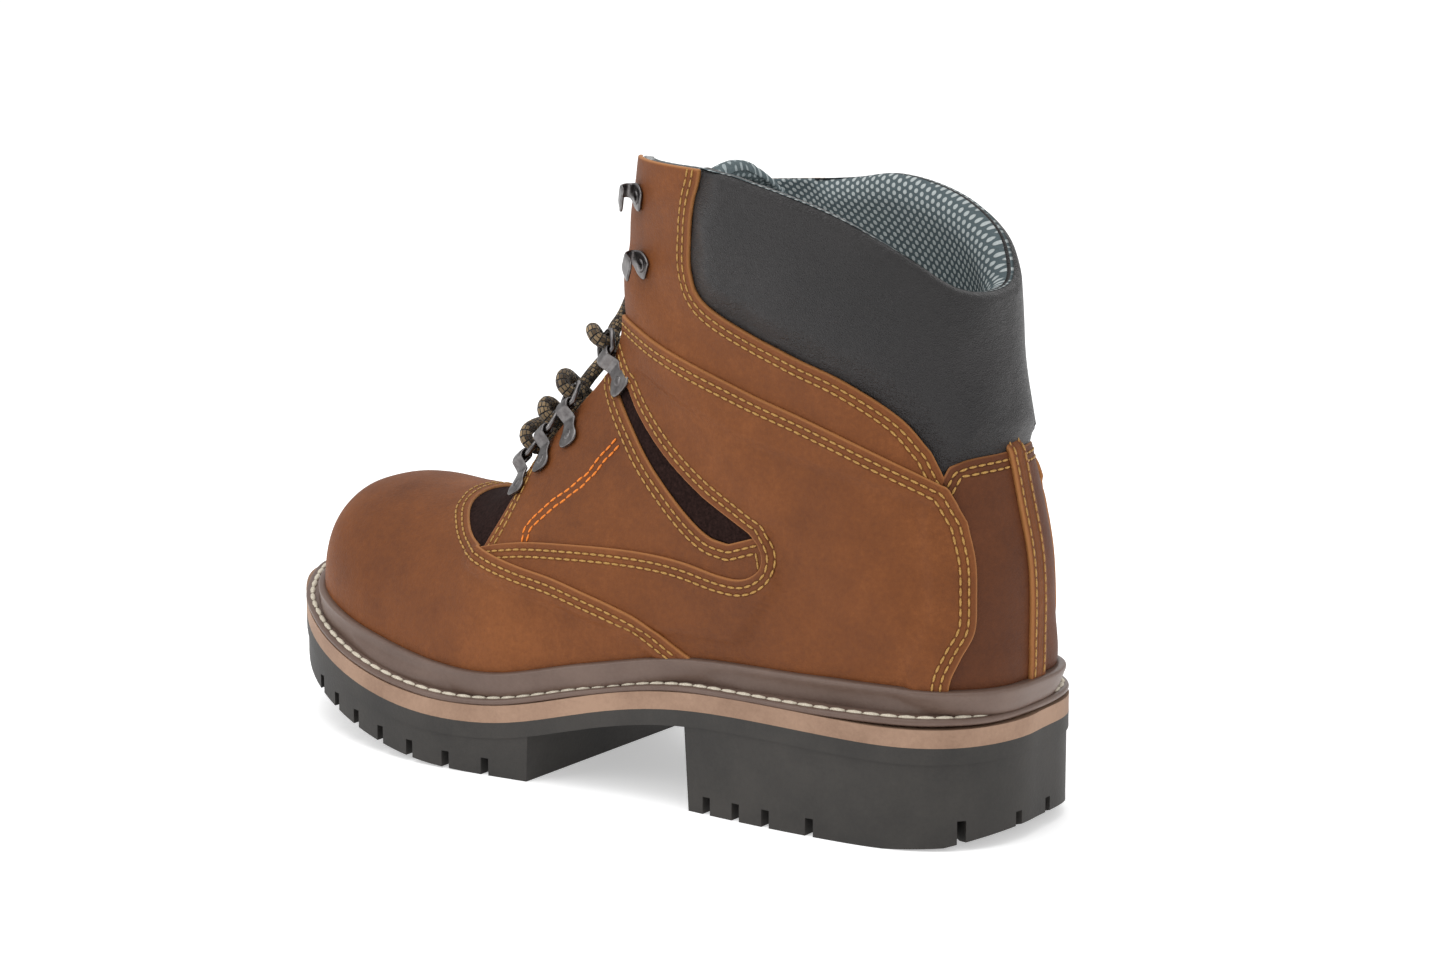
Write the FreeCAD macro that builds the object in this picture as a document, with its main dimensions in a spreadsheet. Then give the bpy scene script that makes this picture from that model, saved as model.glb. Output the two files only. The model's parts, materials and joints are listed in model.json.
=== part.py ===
import FreeCAD, Part
import math
import os
from FreeCAD import Vector

# Steel toe work boot, left foot.  Millimetres.  X runs from the back of the heel towards the toe,
# Y towards the outer (lateral) side, Z up.  Everything is laid out from the back of the heel and
# every sub-part's Placement then moves it so that the origin is the middle of the sole's footprint.

os.makedirs("parts", exist_ok=True)
doc = FreeCAD.newDocument("work_boot")

# ---------------------------------------------------------------- driving dimensions
DRIVING = [
    ("overall_length", 311.0),
    ("ball_width", 105.0),
    ("heel_width", 91.0),
    ("welt_height_heel", 41.0),
    ("welt_height_ball", 23.0),
    ("toe_spring", 23.0),
    ("midsole_thick", 6.0),
    ("tread_depth", 6.0),
    ("rand_height", 9.0),
    ("rand_thick", 3.0),
    ("leather_thick", 2.0),
    ("stiffener_thick", 1.6),
    ("lining_thick", 1.2),
    ("layer_gap", 0.3),
    ("board_thick", 2.5),
    ("footbed_thick", 5.0),
    ("collar_thick", 13.0),
    ("tongue_thick", 6.0),
    ("throat_half_gap", 19.0),
    ("ring_wire", 1.8),
    ("ring_inner_width", 7.2),
    ("ring_inner_depth", 8.2),
    ("clip_width", 6.0),
    ("clip_thick", 1.2),
    ("rivet_radius", 2.6),
    ("hook_size", 9.0),
    ("lace_diameter", 4.6),
    ("aglet_length", 22.0),
    ("aglet_radius", 1.9),
    ("shank_length", 120.0),
    ("shank_width", 16.0),
    ("shank_thick", 1.4),
]

sheet = doc.addObject("Spreadsheet::Sheet", "Dimensions")
for row, (alias, value) in enumerate(DRIVING, start=1):
    sheet.set("A%d" % row, alias)
    sheet.set("B%d" % row, str(value))
    sheet.setAlias("B%d" % row, alias)
doc.recompute()


def dim(alias):
    """A driving dimension, read back from the sheet."""
    return float(sheet.get(alias))


LENGTH = dim("overall_length")
BALL = dim("ball_width") / 2
HEEL = dim("heel_width") / 2
WELT_HEEL = dim("welt_height_heel")
WELT_BALL = dim("welt_height_ball")
SPRING = dim("toe_spring")
LEATHER = dim("leather_thick")
GAP = dim("layer_gap")
STIFF = dim("stiffener_thick")
LINING = dim("lining_thick")
WIDE = 90.0
HOME = FreeCAD.Placement(Vector(-LENGTH / 2, 0, 0), FreeCAD.Rotation())

parts = []


def keep(obj, label):
    """Name a finished sub-part and move it to the boot's own frame."""
    obj.Label = label
    obj.Placement = HOME.multiply(obj.Placement)
    parts.append(obj)
    return obj


def feature(label, shape):
    """A sub-part whose shape comes from curved-surface work."""
    obj = doc.addObject("Part::Feature", label)
    obj.Shape = shape
    return keep(obj, label)


# ---------------------------------------------------------------- the sole's outline and heights
# (fraction of the length, half-width as a fraction of the heel's or the ball's half-width)
LATERAL_HEEL = [(0.007, 0.40), (0.032, 0.68), (0.080, 0.89), (0.160, 0.985), (0.275, 1.00),
                (0.370, 0.97), (0.450, 0.975)]
LATERAL_BALL = [(0.535, 0.915), (0.612, 0.966), (0.685, 1.00), (0.768, 0.935), (0.845, 0.785),
                (0.905, 0.585), (0.958, 0.30)]
MEDIAL_HEEL = [(0.005, 0.44), (0.026, 0.73), (0.070, 0.92), (0.160, 0.98), (0.260, 0.95),
               (0.370, 0.80), (0.468, 0.84)]
MEDIAL_BALL = [(0.558, 0.89), (0.645, 0.98), (0.716, 1.00), (0.790, 0.985), (0.865, 0.885),
               (0.930, 0.71), (0.975, 0.48)]
TOE_TIP_Y = -0.19


def sole_points():
    """The sole's outline as a ring of points, from the back of the heel round the outer side."""
    ring = [Vector(0, 0, 0)]
    ring += [Vector(x * LENGTH, y * HEEL, 0) for x, y in LATERAL_HEEL]
    ring += [Vector(x * LENGTH, y * BALL, 0) for x, y in LATERAL_BALL]
    ring += [Vector(LENGTH, TOE_TIP_Y * BALL, 0)]
    ring += [Vector(x * LENGTH, -y * BALL, 0) for x, y in reversed(MEDIAL_BALL)]
    ring += [Vector(x * LENGTH, -y * HEEL, 0) for x, y in reversed(MEDIAL_HEEL)]
    return ring


def curve(points, closed=False):
    spline = Part.BSplineCurve()
    spline.interpolate(points, PeriodicFlag=closed)
    return spline


SOLE_WIRE = Part.Wire([curve(sole_points(), True).toShape()])


def plan_prism(inset, low, high):
    """The sole's outline, drawn in by inset, as an upright prism between two heights."""
    points = sole_points()
    drawn_in = []
    for i, point in enumerate(points):
        along = points[(i + 1) % len(points)] - points[i - 1]
        inward = Vector(-along.y, along.x, 0).normalize()
        if inward.dot(Vector(0.45 * LENGTH, 0, 0) - point) < 0:
            inward = -inward
        drawn_in.append(point + inward * inset)
    face = Part.Face(Part.Wire([curve(drawn_in, True).toShape()]))
    face.translate(Vector(0, 0, low))
    return face.extrude(Vector(0, 0, high - low))


def welt_line(shift):
    """Side view of the welt's top, raised or lowered by shift."""
    heights = [(-0.05, WELT_HEEL + 1), (0.19, WELT_HEEL), (0.355, WELT_HEEL - 1),
               (0.48, WELT_HEEL - 8), (0.595, WELT_BALL + 2), (0.69, WELT_BALL + 1.5),
               (0.80, WELT_BALL + 0.26 * SPRING), (0.90, WELT_BALL + 0.60 * SPRING),
               (1.0, WELT_BALL + SPRING), (1.05, WELT_BALL + 1.22 * SPRING)]
    return [Vector(x * LENGTH, 0, z + shift) for x, z in heights]


def ground_line():
    """Side view of the tread's lowest points: flat, then rising to the toe."""
    rise = [(0.60, 0.0), (0.69, 0.05), (0.80, 0.29), (0.90, 0.64), (1.0, 1.0), (1.05, 1.2)]
    return [Vector(x * LENGTH, 0, z * SPRING) for x, z in rise]


def side_slab(lower, upper):
    """Everything between two side-view curves, right across the boot."""
    a, b = curve(lower), curve(upper)
    front = Part.LineSegment(a.EndPoint, b.EndPoint)
    back = Part.LineSegment(b.StartPoint, a.StartPoint)
    wire = Part.Wire([a.toShape(), front.toShape(), b.toShape(), back.toShape()])
    face = Part.Face(wire)
    face.translate(Vector(0, -WIDE, 0))
    return face.extrude(Vector(0, 2 * WIDE, 0))


def side_prism(outline, low_y, high_y):
    """A straight-sided side-view outline as a solid between two Y positions."""
    points = [Vector(x, low_y, z) for x, z in outline]
    face = Part.Face(Part.makePolygon(points + [points[0]]))
    return face.extrude(Vector(0, high_y - low_y, 0))


# ---------------------------------------------------------------- the upper, ring by ring
# Each row is one ring round the foot, in a plane that holds the Y direction: the ring's front or
# top point (x, z), its back or bottom point (x, z), its middle y, its outer and inner half-widths,
# how far down its widest place is, and how square its front and back halves are.
RINGS = [
    (297, 58, 297, 52, -12, 2, 2, 0.55, 2.0, 2.0),
    (294, 70, 294, 43, -12, 15, 14, 0.62, 2.1, 3.0),
    (288, 78, 288, 36, -12, 28, 26, 0.66, 2.2, 3.4),
    (277, 84, 278, 31, -10, 37, 34, 0.70, 2.3, 3.8),
    (260, 87, 262, 26, -8, 43, 40, 0.74, 2.3, 4.0),
    (238, 87, 241, 21, -5, 45, 44, 0.77, 2.2, 4.0),
    (214, 90, 215, 19, -1, 46, 45, 0.78, 2.1, 4.0),
    (194, 106, 186, 19, 2, 45, 44, 0.77, 2.0, 3.8),
    (180, 124, 148, 27, 2, 42, 39, 0.76, 2.0, 3.6),
    (169, 141, 100, 34, 1, 40, 36, 0.73, 2.0, 3.4),
    (163, 155, 52, 35, 0, 40, 37, 0.68, 2.0, 3.4),
    (161, 164, 18, 36, 0, 39, 38, 0.63, 2.1, 3.4),
    (160, 171, 3, 46, 0, 39, 38, 0.58, 2.2, 3.2),
    (159, 179, 1, 68, 0, 38, 37, 0.54, 2.3, 2.9),
    (157, 188, 2, 92, 0, 37, 36, 0.52, 2.3, 2.7),
    (154, 197, 8, 118, 0, 38, 37, 0.50, 2.4, 2.5),
    (151, 206, 14, 142, 0, 40, 39, 0.50, 2.4, 2.4),
    (149, 215, 17, 164, 0, 42, 41, 0.50, 2.4, 2.4),
    (147, 226, 19, 184, 0, 42, 42, 0.50, 2.4, 2.4),
]
HALF = 12
SHAFT_START = 24
FINE = 60
LAST = len(RINGS) - 1


def blend(values, place):
    """A smooth curve through evenly spaced values, read at any place along them."""
    i = min(max(int(place), 0), len(values) - 2)
    t = place - i
    p1, p2 = values[i], values[i + 1]
    p0 = values[i - 1] if i else 2 * p1 - p2
    p3 = values[i + 2] if i + 2 < len(values) else 2 * p2 - p1
    a = p0 - 2.5 * p1 + 2 * p2 - 0.5 * p3
    b = 1.5 * (p1 - p2) + 0.5 * (p3 - p0)
    return p1 + 0.5 * (p2 - p0) * t + a * t * t + b * t * t * t


def half_ring(place, side):
    """Evenly spaced points from a ring's front to its back on one side (side is +1 or -1)."""
    row = [blend([r[k] for r in RINGS], place) for k in range(10)]
    front = Vector(row[0], row[4], row[1])
    back = Vector(row[2], row[4], row[3])
    half = row[5] if side > 0 else row[6]
    widest, square_front, square_back = row[7], row[8], row[9]
    points = []
    for k in range(FINE + 1):
        angle = math.pi * k / FINE
        c, s = math.cos(angle), math.sin(angle)
        power = 2 / (square_front if c > 0 else square_back)
        reach = abs(c) ** power if k != FINE / 2 else 0.0
        along = widest * (1 - reach) if c > 0 else widest + (1 - widest) * reach
        across = max(s, 0.0) ** power
        points.append(front + (back - front) * along + Vector(0, side * half * across, 0))
    return points


def walk(points, count):
    """The same path as count + 1 evenly spaced points."""
    reach = [0.0]
    for a, b in zip(points, points[1:]):
        reach.append(reach[-1] + (b - a).Length)
    out, j = [], 0
    for k in range(count + 1):
        goal = reach[-1] * k / count
        while j < len(points) - 2 and reach[j + 1] < goal:
            j += 1
        t = (goal - reach[j]) / (reach[j + 1] - reach[j])
        out.append(points[j] + (points[j + 1] - points[j]) * min(max(t, 0), 1))
    return out


def ring_points(place):
    """A whole ring: from the front down the outer side to the back, and up the inner side."""
    outer = walk(half_ring(place, 1), HALF)
    inner = walk(half_ring(place, -1), HALF)
    return outer + inner[-2:0:-1]


GRID = [ring_points(i / 2) for i in range(2 * LAST + 1)]


def outward(i, j):
    """The outward direction of the upper's surface at one point of the grid."""
    across = GRID[i][(j + 1) % (2 * HALF)] - GRID[i][j - 1]
    along = GRID[i + 1][j] - GRID[i - 1][j]
    return across.cross(along).normalize()


def level_outward(i, j):
    """The outward direction within a ring's own plane."""
    ring = GRID[i]
    across = ring[(j + 1) % (2 * HALF)] - ring[j - 1]
    return across.cross((ring[0] - ring[HALF]).cross(Vector(0, 1, 0))).normalize()


def upper_solid(offset, start=0):
    """The upper as one closed solid, its surface moved outward by offset, from ring start up."""
    rows = []
    for i in range(start, len(GRID)):
        ring = GRID[i]
        if i == 0:
            moved = [p + Vector(offset, 0, 0) for p in ring]
        elif start or i == len(GRID) - 1:
            moved = [p + level_outward(i, j) * offset for j, p in enumerate(ring)]
        else:
            moved = [p + outward(i, j) * offset for j, p in enumerate(ring)]
        rows.append(moved + moved[:1])
    surface = Part.BSplineSurface()
    surface.interpolate(rows)
    side = surface.toShape()
    ends = [Part.Face(Part.Wire([edge])) for edge in side.Edges if edge.isClosed()]
    shell = Part.makeShell([side] + ends)
    shell.sewShape()
    solid = Part.Solid(shell)
    if solid.Volume < 0:
        solid.reverse()
    return solid


def layer(outer, inner, start=0):
    """The part of the upper's wall between two offsets of its surface."""
    return upper_solid(outer, start).cut(upper_solid(inner, start))


# ---------------------------------------------------------------- seams, in side view (x, z)
# The rim dips towards the back; the inner side's front is a little lower than the outer side's.
RIM_OUTER = [(-20, 172), (8, 172), (20, 178), (33, 190), (54, 202), (82, 210), (105, 213), (170, 213)]
RIM_INNER = [(-20, 172), (8, 172), (20, 178), (33, 190), (54, 200), (80, 205), (105, 202), (170, 199)]
VAMP_EDGE = [(229, 130), (227, 95), (224, 87), (216, 82), (206, 78), (194, 75.5), (178, 73), (163, 71),
             (150, 68), (138, 65), (126, 61), (110, 52), (101, 47), (90, 36), (84, 10)]
FACING_FRONT = [(190, 130), (190, 108), (191, 97), (194, 86), (199, 74)]
QUARTER_EDGE = [(199, 76), (188, 79), (174, 81.5), (148, 83.5), (127, 84), (112, 83), (97, 80.5),
                (88, 80.5), (82, 84), (81, 89), (84, 94), (88, 96)]
SLOT_FRONT = [(153, 137), (142, 125), (129, 112), (116, 101), (104, 93), (95, 91)]
SLOT_BACK = [(88, 96), (95, 99.5), (108, 106), (122, 115), (137, 127), (146, 137)]
ANKLE_LINE = [(175, 163), (146, 158), (127, 153), (89, 142), (64, 135), (46, 129), (29, 122), (19, 117)]
HEEL_SEAM = [(19, 118), (13, 106), (10, 94), (9, 82), (9, 71), (12, 62), (15, 52), (17, 30)]
COLLAR_EDGE = [(104, 240), (105, 213), (108, 202), (111, 190), (112, 178), (107, 169), (88, 161),
               (70, 155), (52, 149), (34, 139), (24, 128), (19, 122), (8, 124), (-10, 122)]


def both_sides(outline):
    return side_prism(outline, -WIDE, WIDE)


ABOVE_WELT = side_slab(welt_line(GAP), [Vector(x, 0, 400) for x in (-40, 0, 100, 200, 340)])
RIM = side_prism(RIM_OUTER + [(170, 0), (-20, 0)], 0, WIDE)
RIM = RIM.fuse(side_prism(RIM_INNER + [(170, 0), (-20, 0)], -WIDE, 0))
RIM = RIM.fuse(both_sides([(160, 0), (160, 190), (340, 190), (340, 0)]))
COLLAR_ZONE = both_sides(COLLAR_EDGE + [(-40, 122), (-40, 240)])
COUNTER_ZONE = both_sides(HEEL_SEAM + [(-40, 30), (-40, 123), (8, 124)])
VAMP_ZONE = both_sides(VAMP_EDGE + [(340, 10), (340, 130)])
INSERT_ZONE = both_sides(FACING_FRONT + [(230, 74), (230, 130)])
SLOT_ZONE = both_sides(SLOT_FRONT + SLOT_BACK)
FACING_ZONE = both_sides(QUARTER_EDGE + SLOT_FRONT[::-1] + [(160, 146), (205, 146), (205, 76)])
QUARTER_ZONE = both_sides(ANKLE_LINE + HEEL_SEAM[1:] + [(220, 30), (220, 163)])


def throat(extra, drop=0):
    """The open throat between the two facings, each edge moved in by extra, its bottom lowered by drop."""
    half = dim("throat_half_gap") - extra
    outline = [(-half, 240), (-half, 112 - drop), (-half * 0.7, 101 - drop), (0, 98 - drop),
               (half * 0.7, 101 - drop), (half, 112 - drop), (half, 240)]
    points = [Vector(118, y, z) for y, z in outline]
    face = Part.Face(Part.makePolygon(points + [points[0]]))
    return face.extrude(Vector(85, 0, 0))


def halves(shape):
    """A two-sided piece as its outer-side and inner-side halves."""
    right = Part.makeBox(500, WIDE, 400, Vector(-100, -WIDE, -20))
    return shape.cut(right), shape.common(right)


def build_upper():
    """The leather panels, cut side by side out of one wall, then what lies behind them."""
    wall = layer(0, -LEATHER).common(ABOVE_WELT).common(RIM).cut(throat(0))
    rest = wall.cut(COLLAR_ZONE)
    feature("vamp_leather", rest.common(VAMP_ZONE))
    rest = rest.cut(VAMP_ZONE)
    feature("counter_leather", rest.common(COUNTER_ZONE))
    rest = rest.cut(COUNTER_ZONE)
    insert = rest.common(INSERT_ZONE)
    rest = rest.cut(INSERT_ZONE)
    slot = rest.common(SLOT_ZONE)
    rest = rest.cut(SLOT_ZONE)
    facing = rest.common(FACING_ZONE)
    rest = rest.cut(FACING_ZONE)
    quarter = rest.common(QUARTER_ZONE)
    eyestay = rest.cut(QUARTER_ZONE)
    feature("vamp_insert", insert)
    for name, shape in (("flex_insert", slot), ("ring_facing", facing), ("quarter", quarter),
                        ("eyestay", eyestay)):
        outer, inner = halves(shape)
        feature(name + "_outer", outer)
        feature(name + "_inner", inner)


# ---------------------------------------------------------------- the sole unit
MIDSOLE = dim("midsole_thick")
TREAD = dim("tread_depth")
BREAST = 0.343 * LENGTH
TREAD_REAR = 0.553 * LENGTH
HEEL_BACK_BEVEL = [(-20, -10), (-20, 9), (0, 5.5), (14, 1.2), (32, 0), (32, -10)]
HEEL_GROOVES = [98, 86, 74, 57]
FRONT_GROOVES = [187, 203, 219, 234, 248, 261, 273]
GROOVE_WIDTH = 3.0


def ground_height(x):
    """Height of the tread's lowest surface at x."""
    spline = curve(ground_line())
    if x <= 0.60 * LENGTH:
        return 0.0
    cut = Part.LineSegment(Vector(x, 0, -20), Vector(x, 0, 60))
    return spline.intersectCC(cut)[0].Z


def build_outsole():
    """Rubber plate, heel block and forefoot tread in one, with grooves cut between the lugs."""
    rubber_top = welt_line(-MIDSOLE)
    plate = plan_prism(0, -5, 80).common(side_slab(welt_line(-MIDSOLE - 5.5), rubber_top))
    heel = plan_prism(0.6, 0, 60).common(side_slab([Vector(x, 0, -1) for x in (-40, 40, 120, 330)],
                                                   rubber_top))
    breast = both_sides([(-40, -5), (BREAST, -5), (BREAST + 4, 60), (-40, 60)])
    heel = heel.common(breast).cut(both_sides(HEEL_BACK_BEVEL))
    flat = [Vector(x * LENGTH, 0, 0) for x in (0.45, 0.50, 0.55)]
    tread = plan_prism(0.6, -5, 80).common(side_slab(flat + ground_line(), rubber_top))
    tread = tread.common(both_sides([(TREAD_REAR, -5), (TREAD_REAR - 3, 80), (340, 80), (340, -5)]))
    outsole = plate.fuse([heel, tread])
    cuts = []
    for side in (1, -1):
        for x in HEEL_GROOVES:
            edge = Part.makeBox(GROOVE_WIDTH, 24, TREAD + 1, Vector(x, 0, -1))
            edge.translate(Vector(0, 24 if side > 0 else -48, 0))
            cuts.append(edge)
        corner = Part.makeBox(GROOVE_WIDTH, 26, TREAD + 5, Vector(-GROOVE_WIDTH / 2, 14, -1))
        corner.rotate(Vector(0, 0, 0), Vector(0, 0, 1), 48)
        corner.translate(Vector(34, 8, 0))
        back = Part.makeBox(20, GROOVE_WIDTH, TREAD + 5, Vector(-2, 8, -1))
        if side < 0:
            corner = corner.mirror(Vector(), Vector(0, 1, 0))
            back = back.mirror(Vector(), Vector(0, 1, 0))
        cuts += [corner, back]
        for x in FRONT_GROOVES:
            top = ground_height(x) + TREAD
            inner = 21 if x < 262 else 12
            edge = Part.makeBox(GROOVE_WIDTH, 34, top + 1, Vector(x, 0, -1))
            edge.translate(Vector(0, inner if side > 0 else -inner - 34, 0))
            cuts.append(edge)
    for x in (195, 211, 227, 242):
        top = ground_height(x) + TREAD - 1
        cuts.append(Part.makeBox(GROOVE_WIDTH, 34, top + 1, Vector(x, -17, -1)))
    for x in (48, 66, 84):
        cuts.append(Part.makeBox(GROOVE_WIDTH, 36, TREAD, Vector(x, -18, -1)))
    feature("outsole", outsole.cut(cuts))


def build_sole_layers():
    """Midsole, storm rand, filler, insole board and footbed, from the tread up."""
    feature("midsole", plan_prism(0, 0, 80).common(side_slab(welt_line(-MIDSOLE), welt_line(0))))
    rise = dim("rand_height")
    base = plan_prism(5.2, 0, 80).common(side_slab(welt_line(0), welt_line(rise * 0.45)))
    lip = upper_solid(dim("rand_thick")).common(side_slab(welt_line(0), welt_line(rise)))
    lip = lip.common(plan_prism(3.6, 0, 90))
    feature("storm_rand", base.fuse(lip).cut(upper_solid(0.1)))
    inside = upper_solid(-LEATHER - 2 * GAP - STIFF - LINING - 0.5)
    board = dim("board_thick")
    filler_top = 2.0
    shank_slot = Part.makeBox(dim("shank_length") + 2, dim("shank_width") + 2, 60,
                              Vector(0.21 * LENGTH - 1, -dim("shank_width") / 2 - 1, 0))
    filler = inside.common(plan_prism(14, 0, 80)).common(side_slab(welt_line(0.1), welt_line(filler_top)))
    feature("cork_filler", filler.cut(shank_slot))
    feature("insole_board", inside.common(side_slab(welt_line(filler_top + 0.2),
                                                    welt_line(filler_top + 0.2 + board))))
    bed_low = filler_top + 0.5 + board
    bed = upper_solid(-LEATHER - 2 * GAP - STIFF - LINING - 2.0)
    feature("footbed", bed.common(side_slab(welt_line(bed_low), welt_line(bed_low + dim("footbed_thick")))))


# ---------------------------------------------------------------- what lies behind the leather
CAP_ZONE = [(242, 120), (241, 84), (236, 60), (226, 30), (224, 0), (340, 0), (340, 120)]
CAP_STRIP = [(231, 120), (230, 84), (225, 60), (215, 30), (213, 0), (223.5, 0), (225.5, 30), (235.5, 60),
             (240.5, 84), (241.5, 120)]
HEEL_CUP = [(-20, 0), (84, 0), (84, 60), (72, 78), (50, 96), (24, 112), (-20, 116)]


def build_inner_layers():
    """Steel toe cap, its edge strip, heel counter, foam interlining and lining."""
    outside = -LEATHER - GAP
    wall = layer(outside, outside - STIFF).common(side_slab(welt_line(GAP), welt_line(150)))
    feature("steel_toe_cap", wall.common(both_sides(CAP_ZONE)))
    feature("cap_edge_strip", wall.common(both_sides(CAP_STRIP)))
    feature("heel_counter", wall.common(both_sides(HEEL_CUP)))
    foam = layer(outside, outside - STIFF).common(ABOVE_WELT).common(RIM).cut(throat(-10, 10))
    front = [(212.5, 0), (214.5, 30), (224.5, 60), (229.5, 84), (230.5, 120), (340, 120), (340, 0)]
    cup = [(-20, 0), (84.5, 0), (84.5, 60.3), (72.4, 78.5), (50.3, 96.5), (24.2, 112.6), (-20, 117)]
    pad = [(x + 0.4 if x > 100 else x, z - 0.8) for x, z in COLLAR_EDGE]
    foam = foam.cut([both_sides(front), both_sides(cup), both_sides(pad + [(-40, 121), (-40, 240)])])
    outer, inner = halves(foam)
    feature("interlining_outer", outer)
    feature("interlining_inner", inner)
    depth = outside - STIFF - GAP
    lining = layer(depth, depth - LINING).common(side_slab(welt_line(5.2), welt_line(250)))
    lining = lining.common(RIM).cut([throat(-13.5, 30), both_sides(pad + [(-40, 121), (-40, 240)])])
    feature("lining", lining)


def build_collar():
    """The padded collar: black leather outside, foam, and lining inside."""
    thick = dim("collar_thick")
    zone = [(x - 0.5 if x > 100 else x, z + 0.6) for x, z in COLLAR_EDGE]
    zone = both_sides(zone + [(-40, 122.6), (-40, 240)]).common(RIM)
    bulge = 2.2
    for name, outer, inner in (("collar_leather", bulge, bulge - 1.4),
                               ("collar_foam", bulge - 1.6, bulge - thick + 1.4),
                               ("collar_lining", bulge - thick + 1.2, bulge - thick)):
        feature(name, layer(outer, inner, SHAFT_START).common(zone))


# Each row across the tongue: its middle (x, z, y), half-width, how far its edges curl back round
# the ankle, and how far it is turned towards the inner side.
TONGUE = [(207, 81, 0, 20, 5, 0), (188, 93, 0, 23.5, 11, 0), (171, 110, 0, 24.5, 14, 0),
          (159, 129, 0, 24.5, 19, 0), (151, 149, 0, 24.5, 25, 0), (148, 167, -1, 24.5, 27.5, 4),
          (145, 182, -3, 25, 24, 12), (137, 193, -4, 25, 17, 20), (129, 201, -5, 23, 10, 28),
          (123, 205, -5, 13, 5, 30)]


def build_tongue():
    """A padded tongue as rows of flat rounded rings, bent round the instep."""
    half_thick = dim("tongue_thick") / 2
    rows = []
    for i, (x, z, y, half, curl, turn) in enumerate(TONGUE):
        before, after = TONGUE[max(i - 1, 0)], TONGUE[min(i + 1, len(TONGUE) - 1)]
        up = Vector(after[0] - before[0], 0, after[1] - before[1]).normalize()
        out = Vector(up.z, 0, -up.x)
        spin = FreeCAD.Rotation(Vector(0, 0, 1), -turn)
        across, out = spin.multVec(Vector(0, 1, 0)), spin.multVec(out)
        row = []
        for k in range(20):
            angle = 2 * math.pi * k / 20
            c, s = math.cos(angle), math.sin(angle)
            u = half * math.copysign(abs(c) ** 0.8, c)
            v = half_thick * math.copysign(abs(s) ** 0.5, s)
            row.append(Vector(x, y, z) + across * u + out * (v - curl * (u / half) ** 2))
        rows.append(row + row[:1])
    surface = Part.BSplineSurface()
    surface.interpolate(rows)
    side = surface.toShape()
    ends = []
    for row in (rows[0], rows[-1]):
        edge = min((e for e in side.Edges if e.isClosed()),
                   key=lambda e: (e.valueAt(e.FirstParameter) - row[0]).Length)
        ends.append(Part.makeFilledFace([edge]))
    shell = Part.makeShell([side] + ends)
    shell.sewShape()
    solid = Part.Solid(shell)
    if solid.Volume < 0:
        solid.reverse()
    keeper = Part.makeBox(30, 4 * KEEPER_HALF + 2.0, 7.6, Vector(-15, -2 * KEEPER_HALF - 1.0, -3.8))
    keeper.rotate(Vector(), Vector(0, 1, 0), -45)
    keeper.translate(Vector(133, KEEPER_Y, 197))
    feature("tongue", solid.cut(keeper))


# ---------------------------------------------------------------- rings, clips, hooks and lace
# How far up the throat each lace ring is, in rings of the upper, and the same for the hooks.
RING_PLACES = [7.15, 7.75, 8.40, 9.90]
HOOKS = [(14.2, 27), (16.0, 27)]
RING_RISE = 3.5
WIRE = dim("ring_wire")
LACE = dim("lace_diameter")
LOOP = (WIRE + LACE) / 2 + 0.45


def wall_point(place, reach, side):
    """The point of the upper's surface on one ring at a distance reach from the middle plane."""
    path = half_ring(place, side)
    for a, b in zip(path, path[1:]):
        if abs(b.y) >= reach:
            return a + (b - a) * ((reach - abs(a.y)) / (abs(b.y) - abs(a.y)))
    return path[-1]


def seat(place, reach, side):
    """A local frame on the upper: X towards the throat, Z outward from the leather."""
    point = wall_point(place, reach, side)
    up = wall_point(place + 0.2, reach, side) - wall_point(place - 0.2, reach, side)
    to_throat = wall_point(place, reach - 2, side) - wall_point(place, reach + 2, side)
    out = up.cross(to_throat) * side
    x = to_throat.normalize()
    z = (out - x * out.dot(x)).normalize()
    y = z.cross(x)
    return FreeCAD.Placement(point, FreeCAD.Rotation(x, y, z, "XZY"))


def body(name):
    return doc.addObject("PartDesign::Body", name)


def plane_of(owner, role):
    return [f for f in owner.Origin.OriginFeatures if f.Role == role][0]


def sketch(owner, role, geometry, name):
    """A sketch on one of a body's own planes."""
    drawing = owner.newObject("Sketcher::SketchObject", name)
    drawing.AttachmentSupport = [(plane_of(owner, role), "")]
    drawing.MapMode = "FlatFace"
    for item in geometry:
        drawing.addGeometry(item, False)
    return drawing


def polygon(points):
    return [Part.LineSegment(Vector(*a, 0), Vector(*b, 0)) for a, b in zip(points, points[1:] + points[:1])]


def circle(x, y, r):
    return Part.Circle(Vector(x, y, 0), Vector(0, 0, 1), r)


def pad(owner, drawing, alias, name, midplane=True):
    """A pad whose length is bound to a driving dimension."""
    feat = owner.newObject("PartDesign::Pad", name)
    feat.Profile = drawing
    feat.Midplane = midplane
    feat.setExpression("Length", "Dimensions." + alias)
    return feat


def rounded_loop(left, right, half, corner):
    """A flat loop with rounded front corners, as sketch edges."""
    front = right - corner
    return [Part.LineSegment(Vector(left, -half, 0), Vector(front, -half, 0)),
            Part.ArcOfCircle(Part.Circle(Vector(front, -half + corner, 0), Vector(0, 0, 1), corner),
                             -math.pi / 2, 0),
            Part.LineSegment(Vector(right, -half + corner, 0), Vector(right, half - corner, 0)),
            Part.ArcOfCircle(Part.Circle(Vector(front, half - corner, 0), Vector(0, 0, 1), corner),
                             0, math.pi / 2),
            Part.LineSegment(Vector(front, half, 0), Vector(left, half, 0)),
            Part.LineSegment(Vector(left, half, 0), Vector(left, -half, 0))]


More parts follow.
